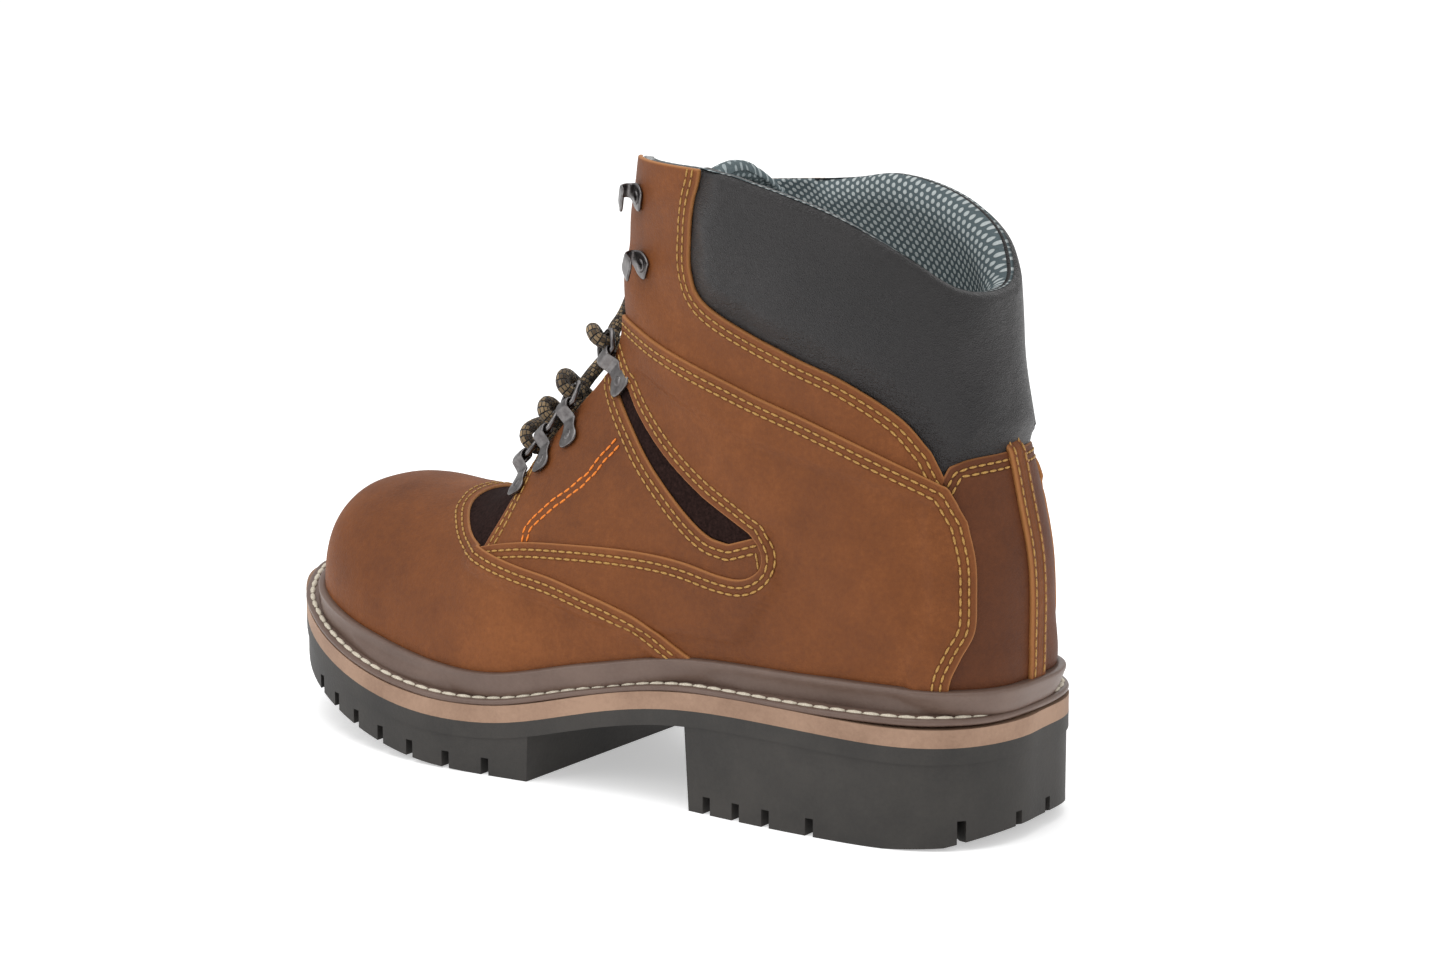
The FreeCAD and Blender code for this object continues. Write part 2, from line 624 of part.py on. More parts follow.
def lace_ring(label, place):
    """One D-shaped ring: its straight bar lies along its own Y at the clip."""
    owner = body(label)
    half = dim("ring_inner_width") / 2
    deep = dim("ring_inner_depth")
    edges = rounded_loop(-WIRE / 2, deep + 1.5 * WIRE, half + WIRE, 3.6)
    edges += rounded_loop(WIRE / 2, deep + WIRE / 2, half, 2.0)
    pad(owner, sketch(owner, "XY_Plane", edges, label + "_loop"), "ring_wire", label + "_pad")
    owner.Placement = place.multiply(FreeCAD.Placement(Vector(0, 0, RING_RISE), FreeCAD.Rotation()))
    return keep(owner, label)


def clip_shape():
    """A folded clip: two leaves on the leather and a loop round the ring's bar."""
    hole, thick = WIRE * 0.707 + 0.15, dim("clip_thick")
    outer = hole + thick
    low = RING_RISE - outer
    profile = [(-15, low), (0, low)]
    edges = [Part.LineSegment(Vector(-15, low, 0), Vector(0, low, 0)),
             Part.ArcOfCircle(Part.Circle(Vector(0, RING_RISE, 0), Vector(0, 0, 1), outer),
                              -math.pi / 2, math.pi / 2),
             Part.LineSegment(Vector(0, RING_RISE + outer, 0), Vector(-4, low + 2.4, 0)),
             Part.LineSegment(Vector(-4, low + 2.4, 0), Vector(-15, low + 2.4, 0)),
             Part.LineSegment(Vector(-15, low + 2.4, 0), Vector(*profile[0], 0))]
    return edges + [circle(0, RING_RISE, hole)]


def solid_of(name, role, edges, alias):
    """A one-pad body used as the pattern for a group of the same piece."""
    owner = body(name)
    pad(owner, sketch(owner, role, edges, name + "_sketch"), alias, name + "_pad")
    doc.recompute()
    return owner.Shape.copy()


def group(label, pattern, places, shift=Vector()):
    """Copies of one small piece, as one node of separate solids."""
    copies = []
    for place in places:
        piece = pattern.copy()
        piece.Placement = place.multiply(FreeCAD.Placement(shift, FreeCAD.Rotation()))
        copies.append(piece)
    feature(label, Part.makeCompound(copies))


def hook_edges():
    """Side view of a speed hook: base plate, a neck at the throat side, a tongue raised over it."""
    return polygon([(4.5, 0.5), (-4.5, 0.5), (-4.5, 1.7), (3.4, 1.7), (3.4, 5.0), (-5.5, 6.2),
                    (-5.5, 7.4), (4.6, 6.2)])


def build_shank():
    """A steel strip under the arch, in the filler's slot."""
    low = 0.3
    block = Part.makeBox(dim("shank_length"), dim("shank_width"), 60,
                         Vector(0.21 * LENGTH, -dim("shank_width") / 2, 0))
    feature("steel_shank", block.common(side_slab(welt_line(low), welt_line(low + dim("shank_thick")))))


def build_hardware():
    clip = solid_of("clip_pattern", "XZ_Plane", clip_shape(), "clip_width")
    hook = solid_of("hook_pattern", "XZ_Plane", hook_edges(), "hook_size")
    rivet = Part.makeCylinder(dim("rivet_radius"), 0.9, Vector(-10, 0, RING_RISE))
    hook_rivet = Part.makeCylinder(dim("rivet_radius"), 0.8, Vector(-0.8, 0, 1.8))
    seats = {}
    reach = dim("throat_half_gap") + 0.4
    for side, word in ((1, "outer"), (-1, "inner")):
        places = [seat(p, reach, side) for p in RING_PLACES]
        seats[side] = places
        for k, place in enumerate(places, start=1):
            lace_ring("lace_ring_%s_%d" % (word, k), place)
        group("ring_clips_" + word, clip, places)
        top = RING_RISE - (WIRE * 0.707 + 0.15 + dim("clip_thick")) + 2.4
        group("clip_rivets_" + word, rivet, places, Vector(0, 0, top - RING_RISE))
        spots = [seat(p, r, side) for p, r in HOOKS]
        group("lace_hooks_" + word, hook, spots)
        group("hook_rivets_" + word, hook_rivet, spots)
    return seats


def cord(label, points):
    """A round cord: straight runs joined by arcs as large as the runs allow."""
    edges, start = [], points[0]
    for a, b, c in zip(points, points[1:], points[2:]):
        into, away = (b - a), (c - b)
        turn = into.getAngle(away)
        run = min(into.Length, away.Length)
        radius = 0.45 * run / math.tan(turn / 2)
        back = 0.45 * run
        into.normalize()
        away.normalize()
        p, q = b - into * back, b + away * back
        centre_line = (away - into).normalize()
        middle = b + centre_line * (radius / math.cos(turn / 2) - radius)
        edges.append(Part.LineSegment(start, p).toShape())
        edges.append(Part.Arc(p, middle, q).toShape())
        print(label, "turn %.0f radius %.1f" % (math.degrees(turn), radius))
        start = q
    edges.append(Part.LineSegment(start, points[-1]).toShape())
    path = Part.Wire(edges)
    section = Part.Wire([Part.Circle(points[0], points[1] - points[0], LACE / 2).toShape()])
    tube = path.makePipeShell([section], True, True)
    expected = math.pi * (LACE / 2) ** 2 * path.Length
    print(label, "length %.0f mm, volume ratio %.3f" % (path.Length, tube.Volume / expected))
    return feature(label, tube)


def ring_visit(place):
    """The lace round one ring's front bar: in over it, two corners behind it, out under it."""
    bar = dim("ring_inner_depth") + WIRE
    side_view = [(bar + 3.4, LOOP + 0.7), (bar - LOOP, LOOP), (bar - LOOP, -LOOP), (bar + 3.0, -LOOP - 0.3)]
    return [place.multVec(Vector(x, 0, RING_RISE + z)) for x, z in side_view]


CROSS_OVER = 2.6
CROSS_UNDER = -2.6
# From the top ring up the front of the tongue and through its keeper hole, for the outer side:
# x, z, and how far out from the keeper's middle as a fraction of the spread there.
CLIMB = [(161, 156, 3.2), (157.5, 170, 1.9), (151.5, 183.5, 1.2), (144, 194.5, 1.0), (137.6, 201.4, 1.0),
         (130.5, 195.0, 1.0), (127.5, 187, 1.0)]
KEEPER_Y = -4.0
KEEPER_HALF = 2.75
TAIL = [(123, 175, 1.0), (124, 152, 1.6), (124, 128, 2.8), (128, 106, 4.4), (133, 84, 5.8),
        (142, 64, 7.2), (157, 49, 8.4), (176, 41.5, 8.8), (195, 39.2, 9.0)]


def spread(rows, side):
    """A hand-set side-view route as points, mirrored about the keeper's middle plane."""
    return [Vector(x, KEEPER_Y + side * KEEPER_HALF * out, z) for x, z, out in rows]


def crossing(a, b, lift):
    """Where a run passes the other one, lifted off the straight line between two rings."""
    return (a + b) * 0.5 + Vector(0.7, 0, 0.7) * lift


def build_lace(seats):
    """The lace: a bar at the bottom, crossings up the rings, then through the tongue's keeper."""
    chain = {}
    for first in (1, -1):
        side, lift = first, CROSS_OVER if first > 0 else CROSS_UNDER
        path = []
        for row in range(4):
            visit = ring_visit(seats[side][row])
            if path:
                path.append(crossing(path[-1], visit[0], lift))
            path += visit
            side = -side
        chain[-side] = path + spread(CLIMB, -side)
    route = list(reversed(chain[1])) + chain[-1]
    cord("lace", route)
    for side, word in ((1, "outer"), (-1, "inner")):
        last = spread(CLIMB, side)[-1]
        tail = [last] + spread(TAIL, side)
        cord("lace_tail_" + word, tail)
        heading = (tail[-1] - tail[-2]).normalize()
        aglet = body("aglet_" + word)
        drawing = sketch(aglet, "XY_Plane", [circle(0, 0, dim("aglet_radius"))], "aglet_disc_" + word)
        pad(aglet, drawing, "aglet_length", "aglet_pad_" + word, False)
        aglet.Placement = FreeCAD.Placement(tail[-1], FreeCAD.Rotation(Vector(0, 0, 1), heading))
        keep(aglet, "aglet_" + word)


def report_and_export():
    """Stop on any failed object or broken shape, then write one file for each sub-part."""
    doc.recompute()
    for obj in doc.Objects:
        if "Invalid" in obj.State or "Error" in obj.State:
            raise RuntimeError("failed object: " + obj.Name)
    for obj in parts:
        if obj.Shape.isNull() or not obj.Shape.isValid() or not obj.Shape.Solids:
            raise RuntimeError("broken shape: " + obj.Label)
    for obj in parts:
        obj.Shape.exportStep("parts/%s.step" % obj.Label)
    whole = Part.makeCompound([obj.Shape for obj in parts])
    box = whole.optimalBoundingBox(False)
    print(len(parts), "sub-parts, x %.1f..%.1f y %.1f..%.1f z %.1f..%.1f" % (
        box.XMin, box.XMax, box.YMin, box.YMax, box.ZMin, box.ZMax))


build_outsole()
build_sole_layers()
build_upper()
build_inner_layers()
build_collar()
build_tongue()
build_shank()
build_lace(build_hardware())
report_and_export()
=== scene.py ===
# %% [markdown]
# A steel toe work boot, dressed over its measured frame.
# The frame gives every size and joint. This script adds what the eye reads: leather panels that
# overlap, rows of stitching, a padded collar, woven laces, dark plated metal and a rubber sole.
# Each step says what the real piece is, how it could be made, and why it is made this way here.

# %% Load the frame
import json
import math

import bmesh
import bpy
import numpy as np
from mathutils import Matrix, Vector
from mathutils.kdtree import KDTree


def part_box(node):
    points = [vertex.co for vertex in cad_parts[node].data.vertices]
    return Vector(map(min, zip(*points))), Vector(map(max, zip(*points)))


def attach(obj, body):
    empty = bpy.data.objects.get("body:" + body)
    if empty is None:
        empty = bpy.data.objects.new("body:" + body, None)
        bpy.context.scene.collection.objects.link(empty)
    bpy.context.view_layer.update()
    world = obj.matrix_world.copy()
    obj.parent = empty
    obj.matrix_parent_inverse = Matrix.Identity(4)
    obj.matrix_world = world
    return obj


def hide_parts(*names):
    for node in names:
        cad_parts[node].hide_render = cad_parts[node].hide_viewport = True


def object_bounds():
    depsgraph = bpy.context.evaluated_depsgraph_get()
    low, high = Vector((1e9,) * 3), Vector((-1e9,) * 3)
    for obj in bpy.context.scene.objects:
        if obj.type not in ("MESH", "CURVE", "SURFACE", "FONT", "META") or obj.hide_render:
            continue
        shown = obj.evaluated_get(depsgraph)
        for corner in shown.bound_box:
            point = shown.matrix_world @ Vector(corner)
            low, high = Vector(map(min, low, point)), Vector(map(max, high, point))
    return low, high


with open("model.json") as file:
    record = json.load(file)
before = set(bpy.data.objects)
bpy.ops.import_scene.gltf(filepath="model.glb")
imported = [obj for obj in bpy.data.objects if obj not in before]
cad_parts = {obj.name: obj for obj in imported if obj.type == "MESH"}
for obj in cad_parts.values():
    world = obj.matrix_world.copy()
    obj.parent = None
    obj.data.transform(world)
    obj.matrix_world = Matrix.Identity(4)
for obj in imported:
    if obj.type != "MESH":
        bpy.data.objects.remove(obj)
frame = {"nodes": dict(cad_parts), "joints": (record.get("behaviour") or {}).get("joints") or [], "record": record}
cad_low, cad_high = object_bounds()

MM = 0.001
HEEL_X = cad_low.x / MM + 0.3
JOINTS = {joint["name"]: joint for joint in frame["joints"]}
BODY = "boot"
print("frame", [round(v, 4) for v in cad_low], [round(v, 4) for v in cad_high])

# %% [markdown]
# The camera comes first, because a picture of the boot is judged from one viewpoint. A long lens
# from a little over a metre away keeps the sole and the collar in the same gentle perspective.
# The light is a plain product studio: a big soft source above, weaker ones at the sides.


# %% Camera
CAMERA_AT = (-0.7536, 1.0240, 0.3658)
CAMERA_LOOKS = (0.564, -0.7996, -0.2062)

camera = bpy.data.objects.new("camera", bpy.data.cameras.new("camera"))
camera.data.lens = 94.6
camera.data.clip_end = 30
camera.location = CAMERA_AT
camera.rotation_mode = "QUATERNION"
camera.rotation_quaternion = Vector(CAMERA_LOOKS).to_track_quat("-Z", "Y")
bpy.context.collection.objects.link(camera)
bpy.context.scene.camera = camera


# %% Lights, world and floor
def area_light(name, place, size, power):
    """A soft square light that looks at the boot's middle."""
    lamp = bpy.data.objects.new(name, bpy.data.lights.new(name, "AREA"))
    lamp.data.size = size
    lamp.data.energy = power
    lamp.location = place
    aim = Vector((0, 0, 0.1)) - Vector(place)
    lamp.rotation_euler = aim.to_track_quat("-Z", "Y").to_euler()
    bpy.context.collection.objects.link(lamp)


area_light("top_softbox", (0.1, 0.2, 1.5), 1.2, 10)
area_light("left_softbox", (0.9, 1.3, 0.9), 0.8, 6)
area_light("right_softbox", (-1.5, 0.1, 0.8), 0.8, 2)
area_light("back_softbox", (0.3, -1.4, 0.9), 1.0, 3)

world = bpy.data.worlds.new("studio")
bpy.context.scene.world = world
world.use_nodes = True
world.node_tree.nodes["Background"].inputs["Color"].default_value = (1, 1, 1, 1)
world.node_tree.nodes["Background"].inputs["Strength"].default_value = 0.7
bpy.context.scene.view_settings.view_transform = "Standard"

floor_mesh = bpy.data.meshes.new("floor")
floor_mesh.from_pydata([(-6, -6, 0), (6, -6, 0), (6, 6, 0), (-6, 6, 0)], [], [(0, 1, 2, 3)])
floor = bpy.data.objects.new("floor", floor_mesh)
bpy.context.collection.objects.link(floor)
print("camera", camera.name, "and", len(bpy.data.lights), "lights")

# %% [markdown]
# Finishes are node trees. Written by hand they are long, so one small class wraps a shader
# socket: Python's own + - * / on it add Math nodes, and any other node comes from one method.
# The maths then reads like the sentence it stands for.


# %% A socket that does sums
class Value:
    """A shader socket that Python's arithmetic works on."""

    def __init__(self, finish, socket):
        self.finish = finish
        self.socket = socket

    def sum_with(self, operation, a, b):
        return self.finish.node("Math", {"operation": operation}, {0: a, 1: b})

    def __add__(self, other):
        return self.sum_with("ADD", self, other)

    def __sub__(self, other):
        return self.sum_with("SUBTRACT", self, other)

    def __mul__(self, other):
        return self.sum_with("MULTIPLY", self, other)

    def __truediv__(self, other):
        return self.sum_with("DIVIDE", self, other)

    def __rsub__(self, other):
        return self.sum_with("SUBTRACT", other, self)

    __radd__ = __add__
    __rmul__ = __mul__


class Finish:
    """One procedural material: its shader, and the nodes that feed it."""

    def __init__(self, name, roughness=0.6, **constants):
        self.material = bpy.data.materials.new(name)
        self.material.use_nodes = True
        self.tree = self.material.node_tree
        self.shader = self.tree.nodes["Principled BSDF"]
        self.shader.inputs["Roughness"].default_value = roughness
        for key, value in constants.items():
            self.shader.inputs[key.replace("_", " ")].default_value = value
        coordinate = self.tree.nodes.new("ShaderNodeTexCoord")
        self.place = Value(self, coordinate.outputs["Object"])
        self.uv = Value(self, coordinate.outputs["UV"])

    def node(self, kind, settings=None, links=None, out=0):
        """A node of one type: its settings first, then a value or a link for each input."""
        made = self.tree.nodes.new("ShaderNode" + kind)
        for key, value in (settings or {}).items():
            if key == "stops":
                ramp = made.color_ramp
                while len(ramp.elements) < len(value):
                    ramp.elements.new(0.5)
                for element, (at, colour) in zip(ramp.elements, value):
                    element.position = at
                    element.color = (*colour, 1)
            else:
                setattr(made, key, value)
        for key, value in (links or {}).items():
            if isinstance(value, Value):
                self.tree.links.new(value.socket, made.inputs[key])
            else:
                made.inputs[key].default_value = value
        return Value(self, made.outputs[out])

    def noise(self, scale, detail=3.0, roughness=0.55, where=None):
        links = {"Vector": where or self.place, "Scale": scale, "Detail": detail,
                 "Roughness": roughness}
        return self.node("TexNoise", links=links)

    def cells(self, scale, feature="F1", where=None):
        return self.node("TexVoronoi", {"feature": feature},
                         {"Vector": where or self.place, "Scale": scale})

    def stretched(self, x, y, z, where=None):
        return self.node("Mapping", links={"Vector": where or self.place, "Scale": (x, y, z)})

    def painted(self, name):
        return self.node("Attribute", {"attribute_name": name}, out=2)

    def step(self, value, low, high):
        """0 below low, 1 above high, and smooth between them."""
        return self.node("MapRange", {"interpolation_type": "SMOOTHSTEP"},
                         {0: value, 1: low, 2: high, 3: 0.0, 4: 1.0})

    def line(self, value, middle, half):
        """1 on a line where value is middle, fading to 0 at half either side."""
        away = self.node("Math", {"operation": "ABSOLUTE"}, {0: value - middle})
        return 1 - self.step(away, 0.0, half)

    def mix(self, share, a, b, blend="MIX"):
        links = {0: share}
        for key, colour in ((6, a), (7, b)):
            links[key] = colour if isinstance(colour, Value) else (*colour, 1)
        return self.node("Mix", {"data_type": "RGBA", "blend_type": blend}, links, out=2)

    def ramp(self, value, *stops):
        return self.node("ValToRGB", {"stops": stops}, {0: value})

    def feed(self, key, value):
        self.tree.links.new(value.socket, self.shader.inputs[key])

    def emboss(self, height, depth, strength=1.0):
        """Height is in units of depth, which is in metres."""
        bump = self.node("Bump", links={"Height": height, "Distance": depth, "Strength": strength})
        self.feed("Normal", bump)


# %% [markdown]
# Oiled full-grain leather is warm brown, paler where it is cut or folded; here its colour is also darkened along
# the stitching as painted shade in the furrows.
# Its surface has very fine pores, so up close it is never smooth, and its sheen is broad and soft.
# Every panel carries a painted value, the distance in millimetres from its own edge, which lets
# one finish draw the pale cut edge and the painted shade in the shallow furrows under the stitching on any panel.


# %% Leather
def leather(name, dark, mid, light, cut):
    made = Finish(name, Specular_IOR_Level=0.26)
    edge = made.painted("edge_mm")
    seam = made.painted("seam_mm")
    patches = made.noise(13, 4, 0.55)
    speckle = made.noise(620, 4, 0.7)
    rubbed = made.noise(85, 6, 0.7)
    tone = made.ramp(patches * 0.50 + speckle * 0.24 + rubbed * 0.26,
                     (0.33, dark), (0.5, mid), (0.66, light))
    # painted shade: along the two stitch rows the colour is mixed toward the dark stop, for the shade in the
    # furrows under the thread
    rows = made.line(seam, 2.6, 0.8) + made.line(seam, 5.0, 0.8)
    painted_furrow_shade = made.mix(rows * 0.42, tone, dark)
    rim = made.step(edge, -0.1, 0.8)
    worn = made.mix((1 - made.step(edge, 0.2, 1.5)) * 0.22, painted_furrow_shade, light)
    made.feed("Base Color", made.mix(rim, cut, worn))
    made.feed("Roughness", 0.50 + patches * 0.14 + speckle * 0.10)
    pores = made.cells(1700, "F1")
    creases = made.noise(230, 6, 0.66)
    height = creases * 0.60 + pores * 0.25 + speckle * 0.45 - rows * 1.1
    made.emboss(height, 0.00036, 0.85)
    return made.material


TAN = leather("tan_leather", (0.104, 0.029, 0.0060), (0.165, 0.049, 0.0100), (0.245, 0.080, 0.0195),
              (0.40, 0.17, 0.055))
# painted shade: a darker copy of the tan leather, for the heel counter's side that faces away from the lights
SHADED_HEEL_TAN = leather("shaded_heel_tan_leather", (0.062, 0.016, 0.0040), (0.095, 0.0265, 0.0065),
                   (0.140, 0.041, 0.012), (0.34, 0.14, 0.048))


# %% Collar leather, textile inserts and lining mesh
def collar_finish():
    made = Finish("collar_leather", Specular_IOR_Level=0.40)
    patches = made.noise(30, 3)
    wrinkles = made.noise(260, 5, 0.6, made.stretched(1, 1, 1.8))
    made.feed("Base Color", made.ramp(patches, (0.3, (0.0085, 0.0075, 0.0078)),
                                      (0.7, (0.0165, 0.0145, 0.0148))))
    made.feed("Roughness", 0.34 + patches * 0.16)
    grain = made.cells(1300, "DISTANCE_TO_EDGE")
    soft = made.noise(38, 2, 0.4, made.stretched(1, 1, 0.5))
    made.emboss(wrinkles * 0.75 + grain * 0.5 + soft * 2.6, 0.0011, 0.85)
    return made.material


def textile_finish():
    made = Finish("black_textile", roughness=0.95, Specular_IOR_Level=0.06)
    nap = made.noise(900, 4, 0.7)
    made.feed("Base Color", made.ramp(nap, (0.3, (0.008, 0.004, 0.0035)),
                                      (0.7, (0.030, 0.0155, 0.0135))))
    made.emboss(nap, 0.0003, 0.8)
    return made.material


def mesh_finish(name, ground, thread, pitch, rise):
    """Spacer mesh: pale oval knots in staggered rows on a grey-green ground, on the piece's UV."""
    made = Finish(name, roughness=0.85, Specular_IOR_Level=0.2)
    along = made.node("SeparateXYZ", links={0: made.uv}, out=0) / pitch
    up = made.node("SeparateXYZ", links={0: made.uv}, out=1) / rise
    row = made.node("Math", {"operation": "FLOOR"}, {0: up})
    across = made.node("Math", {"operation": "FRACT"}, {0: along + row * 0.5}) - 0.5
    height = made.node("Math", {"operation": "FRACT"}, {0: up}) - 0.5
    dot = 1 - made.step(across * across * 5.4 + height * height * 3.4, 0.32, 0.62)
    fuzz = made.noise(1500, 3, 0.7)
    base = made.mix(fuzz, tuple(0.5 * part for part in ground), tuple(1.2 * part for part in ground))
    made.feed("Base Color", made.mix(dot * (0.55 + fuzz * 0.7), base, thread))
    made.emboss(dot + fuzz * 0.4, 0.0005, 0.8)
    return made.material


def fuzz_finish():
    made = Finish("rim_fuzz", roughness=0.95, Sheen_Weight=0.6)
    strands = made.noise(1400, 2, 0.6)
    made.feed("Base Color", made.ramp(strands, (0.42, (0.015, 0.017, 0.018)),
                                      (0.60, (0.42, 0.44, 0.44))))
    made.emboss(strands, 0.0008, 1.0)
    return made.material


FUZZ = fuzz_finish()
COLLAR = collar_finish()
TEXTILE = textile_finish()
MESH = mesh_finish("lining_mesh", (0.095, 0.125, 0.135), (0.44, 0.48, 0.48), 0.0027, 0.0019)
TONGUE_MESH = mesh_finish("tongue_mesh", (0.13, 0.165, 0.175), (0.36, 0.41, 0.42), 0.0021, 0.0015)


# %% Thread, metal and rubber
def thread_finish(name, colour, dark):
    made = Finish(name, roughness=0.62, Specular_IOR_Level=0.3)
    twist = made.noise(2600, 2)
    made.feed("Base Color", made.ramp(twist, (0.35, dark), (0.65, colour)))
    made.emboss(twist, 0.0001, 0.6)
    return made.material


def metal_finish():
    made = Finish("gunmetal", Metallic=1.0)
    worn = made.noise(260, 4, 0.6)
    made.feed("Base Color", made.ramp(worn, (0.35, (0.10, 0.092, 0.092)), (0.62, (0.20, 0.19, 0.188)),
                                      (0.8, (0.32, 0.30, 0.295))))
    made.feed("Roughness", 0.24 + worn * 0.22)
    made.emboss(worn, 0.00008, 0.5)
    return made.material


def rubber_finish(name, dark, light, roughness, relief):
    made = Finish(name, Specular_IOR_Level=0.4)
    grain = made.noise(700, 4, 0.65)
    smears = made.noise(36, 4, 0.6)
    made.feed("Base Color", made.ramp(smears * 0.7 + grain * 0.3, (0.36, dark), (0.64, light)))
    made.feed("Roughness", roughness + grain * 0.16 + smears * 0.08)
    made.emboss(grain + smears * 0.6, relief, 0.6)
    return made.material


GOLD = thread_finish("gold_thread", (0.50, 0.29, 0.085), (0.30, 0.155, 0.038))
ORANGE = thread_finish("orange_thread", (0.92, 0.27, 0.03), (0.65, 0.16, 0.02))
CREAM = thread_finish("cream_thread", (0.72, 0.66, 0.55), (0.50, 0.44, 0.34))
METAL = metal_finish()
OUTSOLE = rubber_finish("outsole_rubber", (0.022, 0.020, 0.018), (0.040, 0.036, 0.032), 0.52, 0.00022)
MIDSOLE = rubber_finish("midsole_rubber", (0.25, 0.150, 0.098), (0.37, 0.235, 0.160), 0.58, 0.00014)
RAND = rubber_finish("rand_rubber", (0.110, 0.068, 0.052), (0.150, 0.098, 0.076), 0.30, 0.0001)


# %% Floor, hidden pieces
def plain_finish(name, dark, light, scale, roughness, **constants):
    made = Finish(name, **constants)
    patches = made.noise(scale, 4)
    made.feed("Base Color", made.ramp(patches, (0.35, dark), (0.65, light)))
    made.feed("Roughness", roughness + patches * 0.1)
    made.emboss(patches, 0.0002, 0.4)
    return made.material


FLOOR = plain_finish("floor_paper", (0.90, 0.90, 0.90), (0.92, 0.92, 0.92), 3, 0.8,
                     Emission_Color=(1, 1, 1, 1), Emission_Strength=0.42)
FOAM = plain_finish("foam", (0.05, 0.05, 0.05), (0.12, 0.12, 0.12), 900, 0.85)
CORK = plain_finish("cork", (0.18, 0.09, 0.04), (0.42, 0.26, 0.13), 420, 0.8)
BOARD = plain_finish("fibre_board", (0.30, 0.24, 0.17), (0.42, 0.35, 0.26), 240, 0.8)
CAP_STEEL = plain_finish("cap_steel", (0.36, 0.36, 0.38), (0.52, 0.52, 0.54), 160, 0.34, Metallic=1.0)
STRIP = plain_finish("cap_strip", (0.02, 0.02, 0.02), (0.04, 0.04, 0.04), 500, 0.6)
AGLET = plain_finish("aglet_plastic", (0.02, 0.012, 0.01), (0.05, 0.03, 0.02), 300, 0.25)
floor_mesh.materials.append(FLOOR)

SLOT_FINISH = {"tan_leather": TAN, "black_textile": TEXTILE, "collar_leather": COLLAR, "foam": FOAM,
               "lining_mesh": MESH, "outsole_rubber": OUTSOLE, "midsole_rubber": MIDSOLE,
               "rand_rubber": RAND, "cork": CORK, "board": BOARD, "cap_steel": CAP_STEEL,
               "cap_strip": STRIP, "lace_cord": TEXTILE, "aglet_plastic": AGLET, "thread": CREAM,
               "gunmetal": METAL}
for row in frame["record"]["subparts"]:
    mesh = frame["nodes"][row["node"]].data
    mesh.materials.clear()
    mesh.materials.append(SLOT_FINISH[row["material_slot"]])
print(len(bpy.data.materials), "finishes")


# %% [markdown]
# Small helpers come before the pieces: one turns points and faces into an object in place, one
# draws a smooth line through a few given points. A boot's lines are all drawn this way, with
# a few points and a spring between them.


# %% Mesh and line helpers
def piece(name, points, faces, finish, nodes=(), smooth=True, body=BODY, fields=None, uv=None):
    """A finished mesh object that rides on its body and stands for its nodes."""
    mesh = bpy.data.meshes.new(name)
    mesh.from_pydata([tuple(p) for p in points], [], [tuple(f) for f in faces])
    mesh.materials.append(finish)
    mesh.polygons.foreach_set("use_smooth", [smooth] * len(mesh.polygons))
    for key, values in (fields or {}).items():
        layer = mesh.attributes.new(key, "FLOAT", "POINT")
        layer.data.foreach_set("value", np.asarray(values, np.float32))
    if uv is not None:
        layer = mesh.uv_layers.new(name="UVMap")
        corners = np.zeros(len(mesh.loops), np.int32)
        mesh.loops.foreach_get("vertex_index", corners)
        layer.data.foreach_set("uv", np.asarray(uv, np.float32)[corners].ravel())
    mesh.update()
    made = bpy.data.objects.new(name, mesh)
    bpy.context.collection.objects.link(made)
    return settle(made, nodes, body)


def face_outward(made):
    """Turn every face's normal outward."""
    shell = bmesh.new()
    shell.from_mesh(made.data)
    bmesh.ops.recalc_face_normals(shell, faces=shell.faces)
    shell.to_mesh(made.data)
    shell.free()


def settle(made, nodes=(), body=BODY):
    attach(made, body)
    if nodes:
        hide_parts(*nodes)
    return made


def sprung(points, per_span=8, closed=False):
    """A smooth line through given points of any number of coordinates."""
    p = np.array(points, float)
    if closed:
        p = np.vstack([p[-1:], p, p[:2]])
    else:
        p = np.vstack([2 * p[:1] - p[1:2], p, 2 * p[-1:] - p[-2:-1]])
    out = []
    for k in range(1, len(p) - 2):
        for t in np.arange(per_span) / per_span:
            a = p[k - 1] - 2.5 * p[k] + 2 * p[k + 1] - 0.5 * p[k + 2]
            b = 1.5 * (p[k] - p[k + 1]) + 0.5 * (p[k + 2] - p[k - 1])
            out.append(p[k] + 0.5 * (p[k + 1] - p[k - 1]) * t + a * t * t + b * t ** 3)
    if not closed:
        out.append(p[-2])
    return np.array(out)
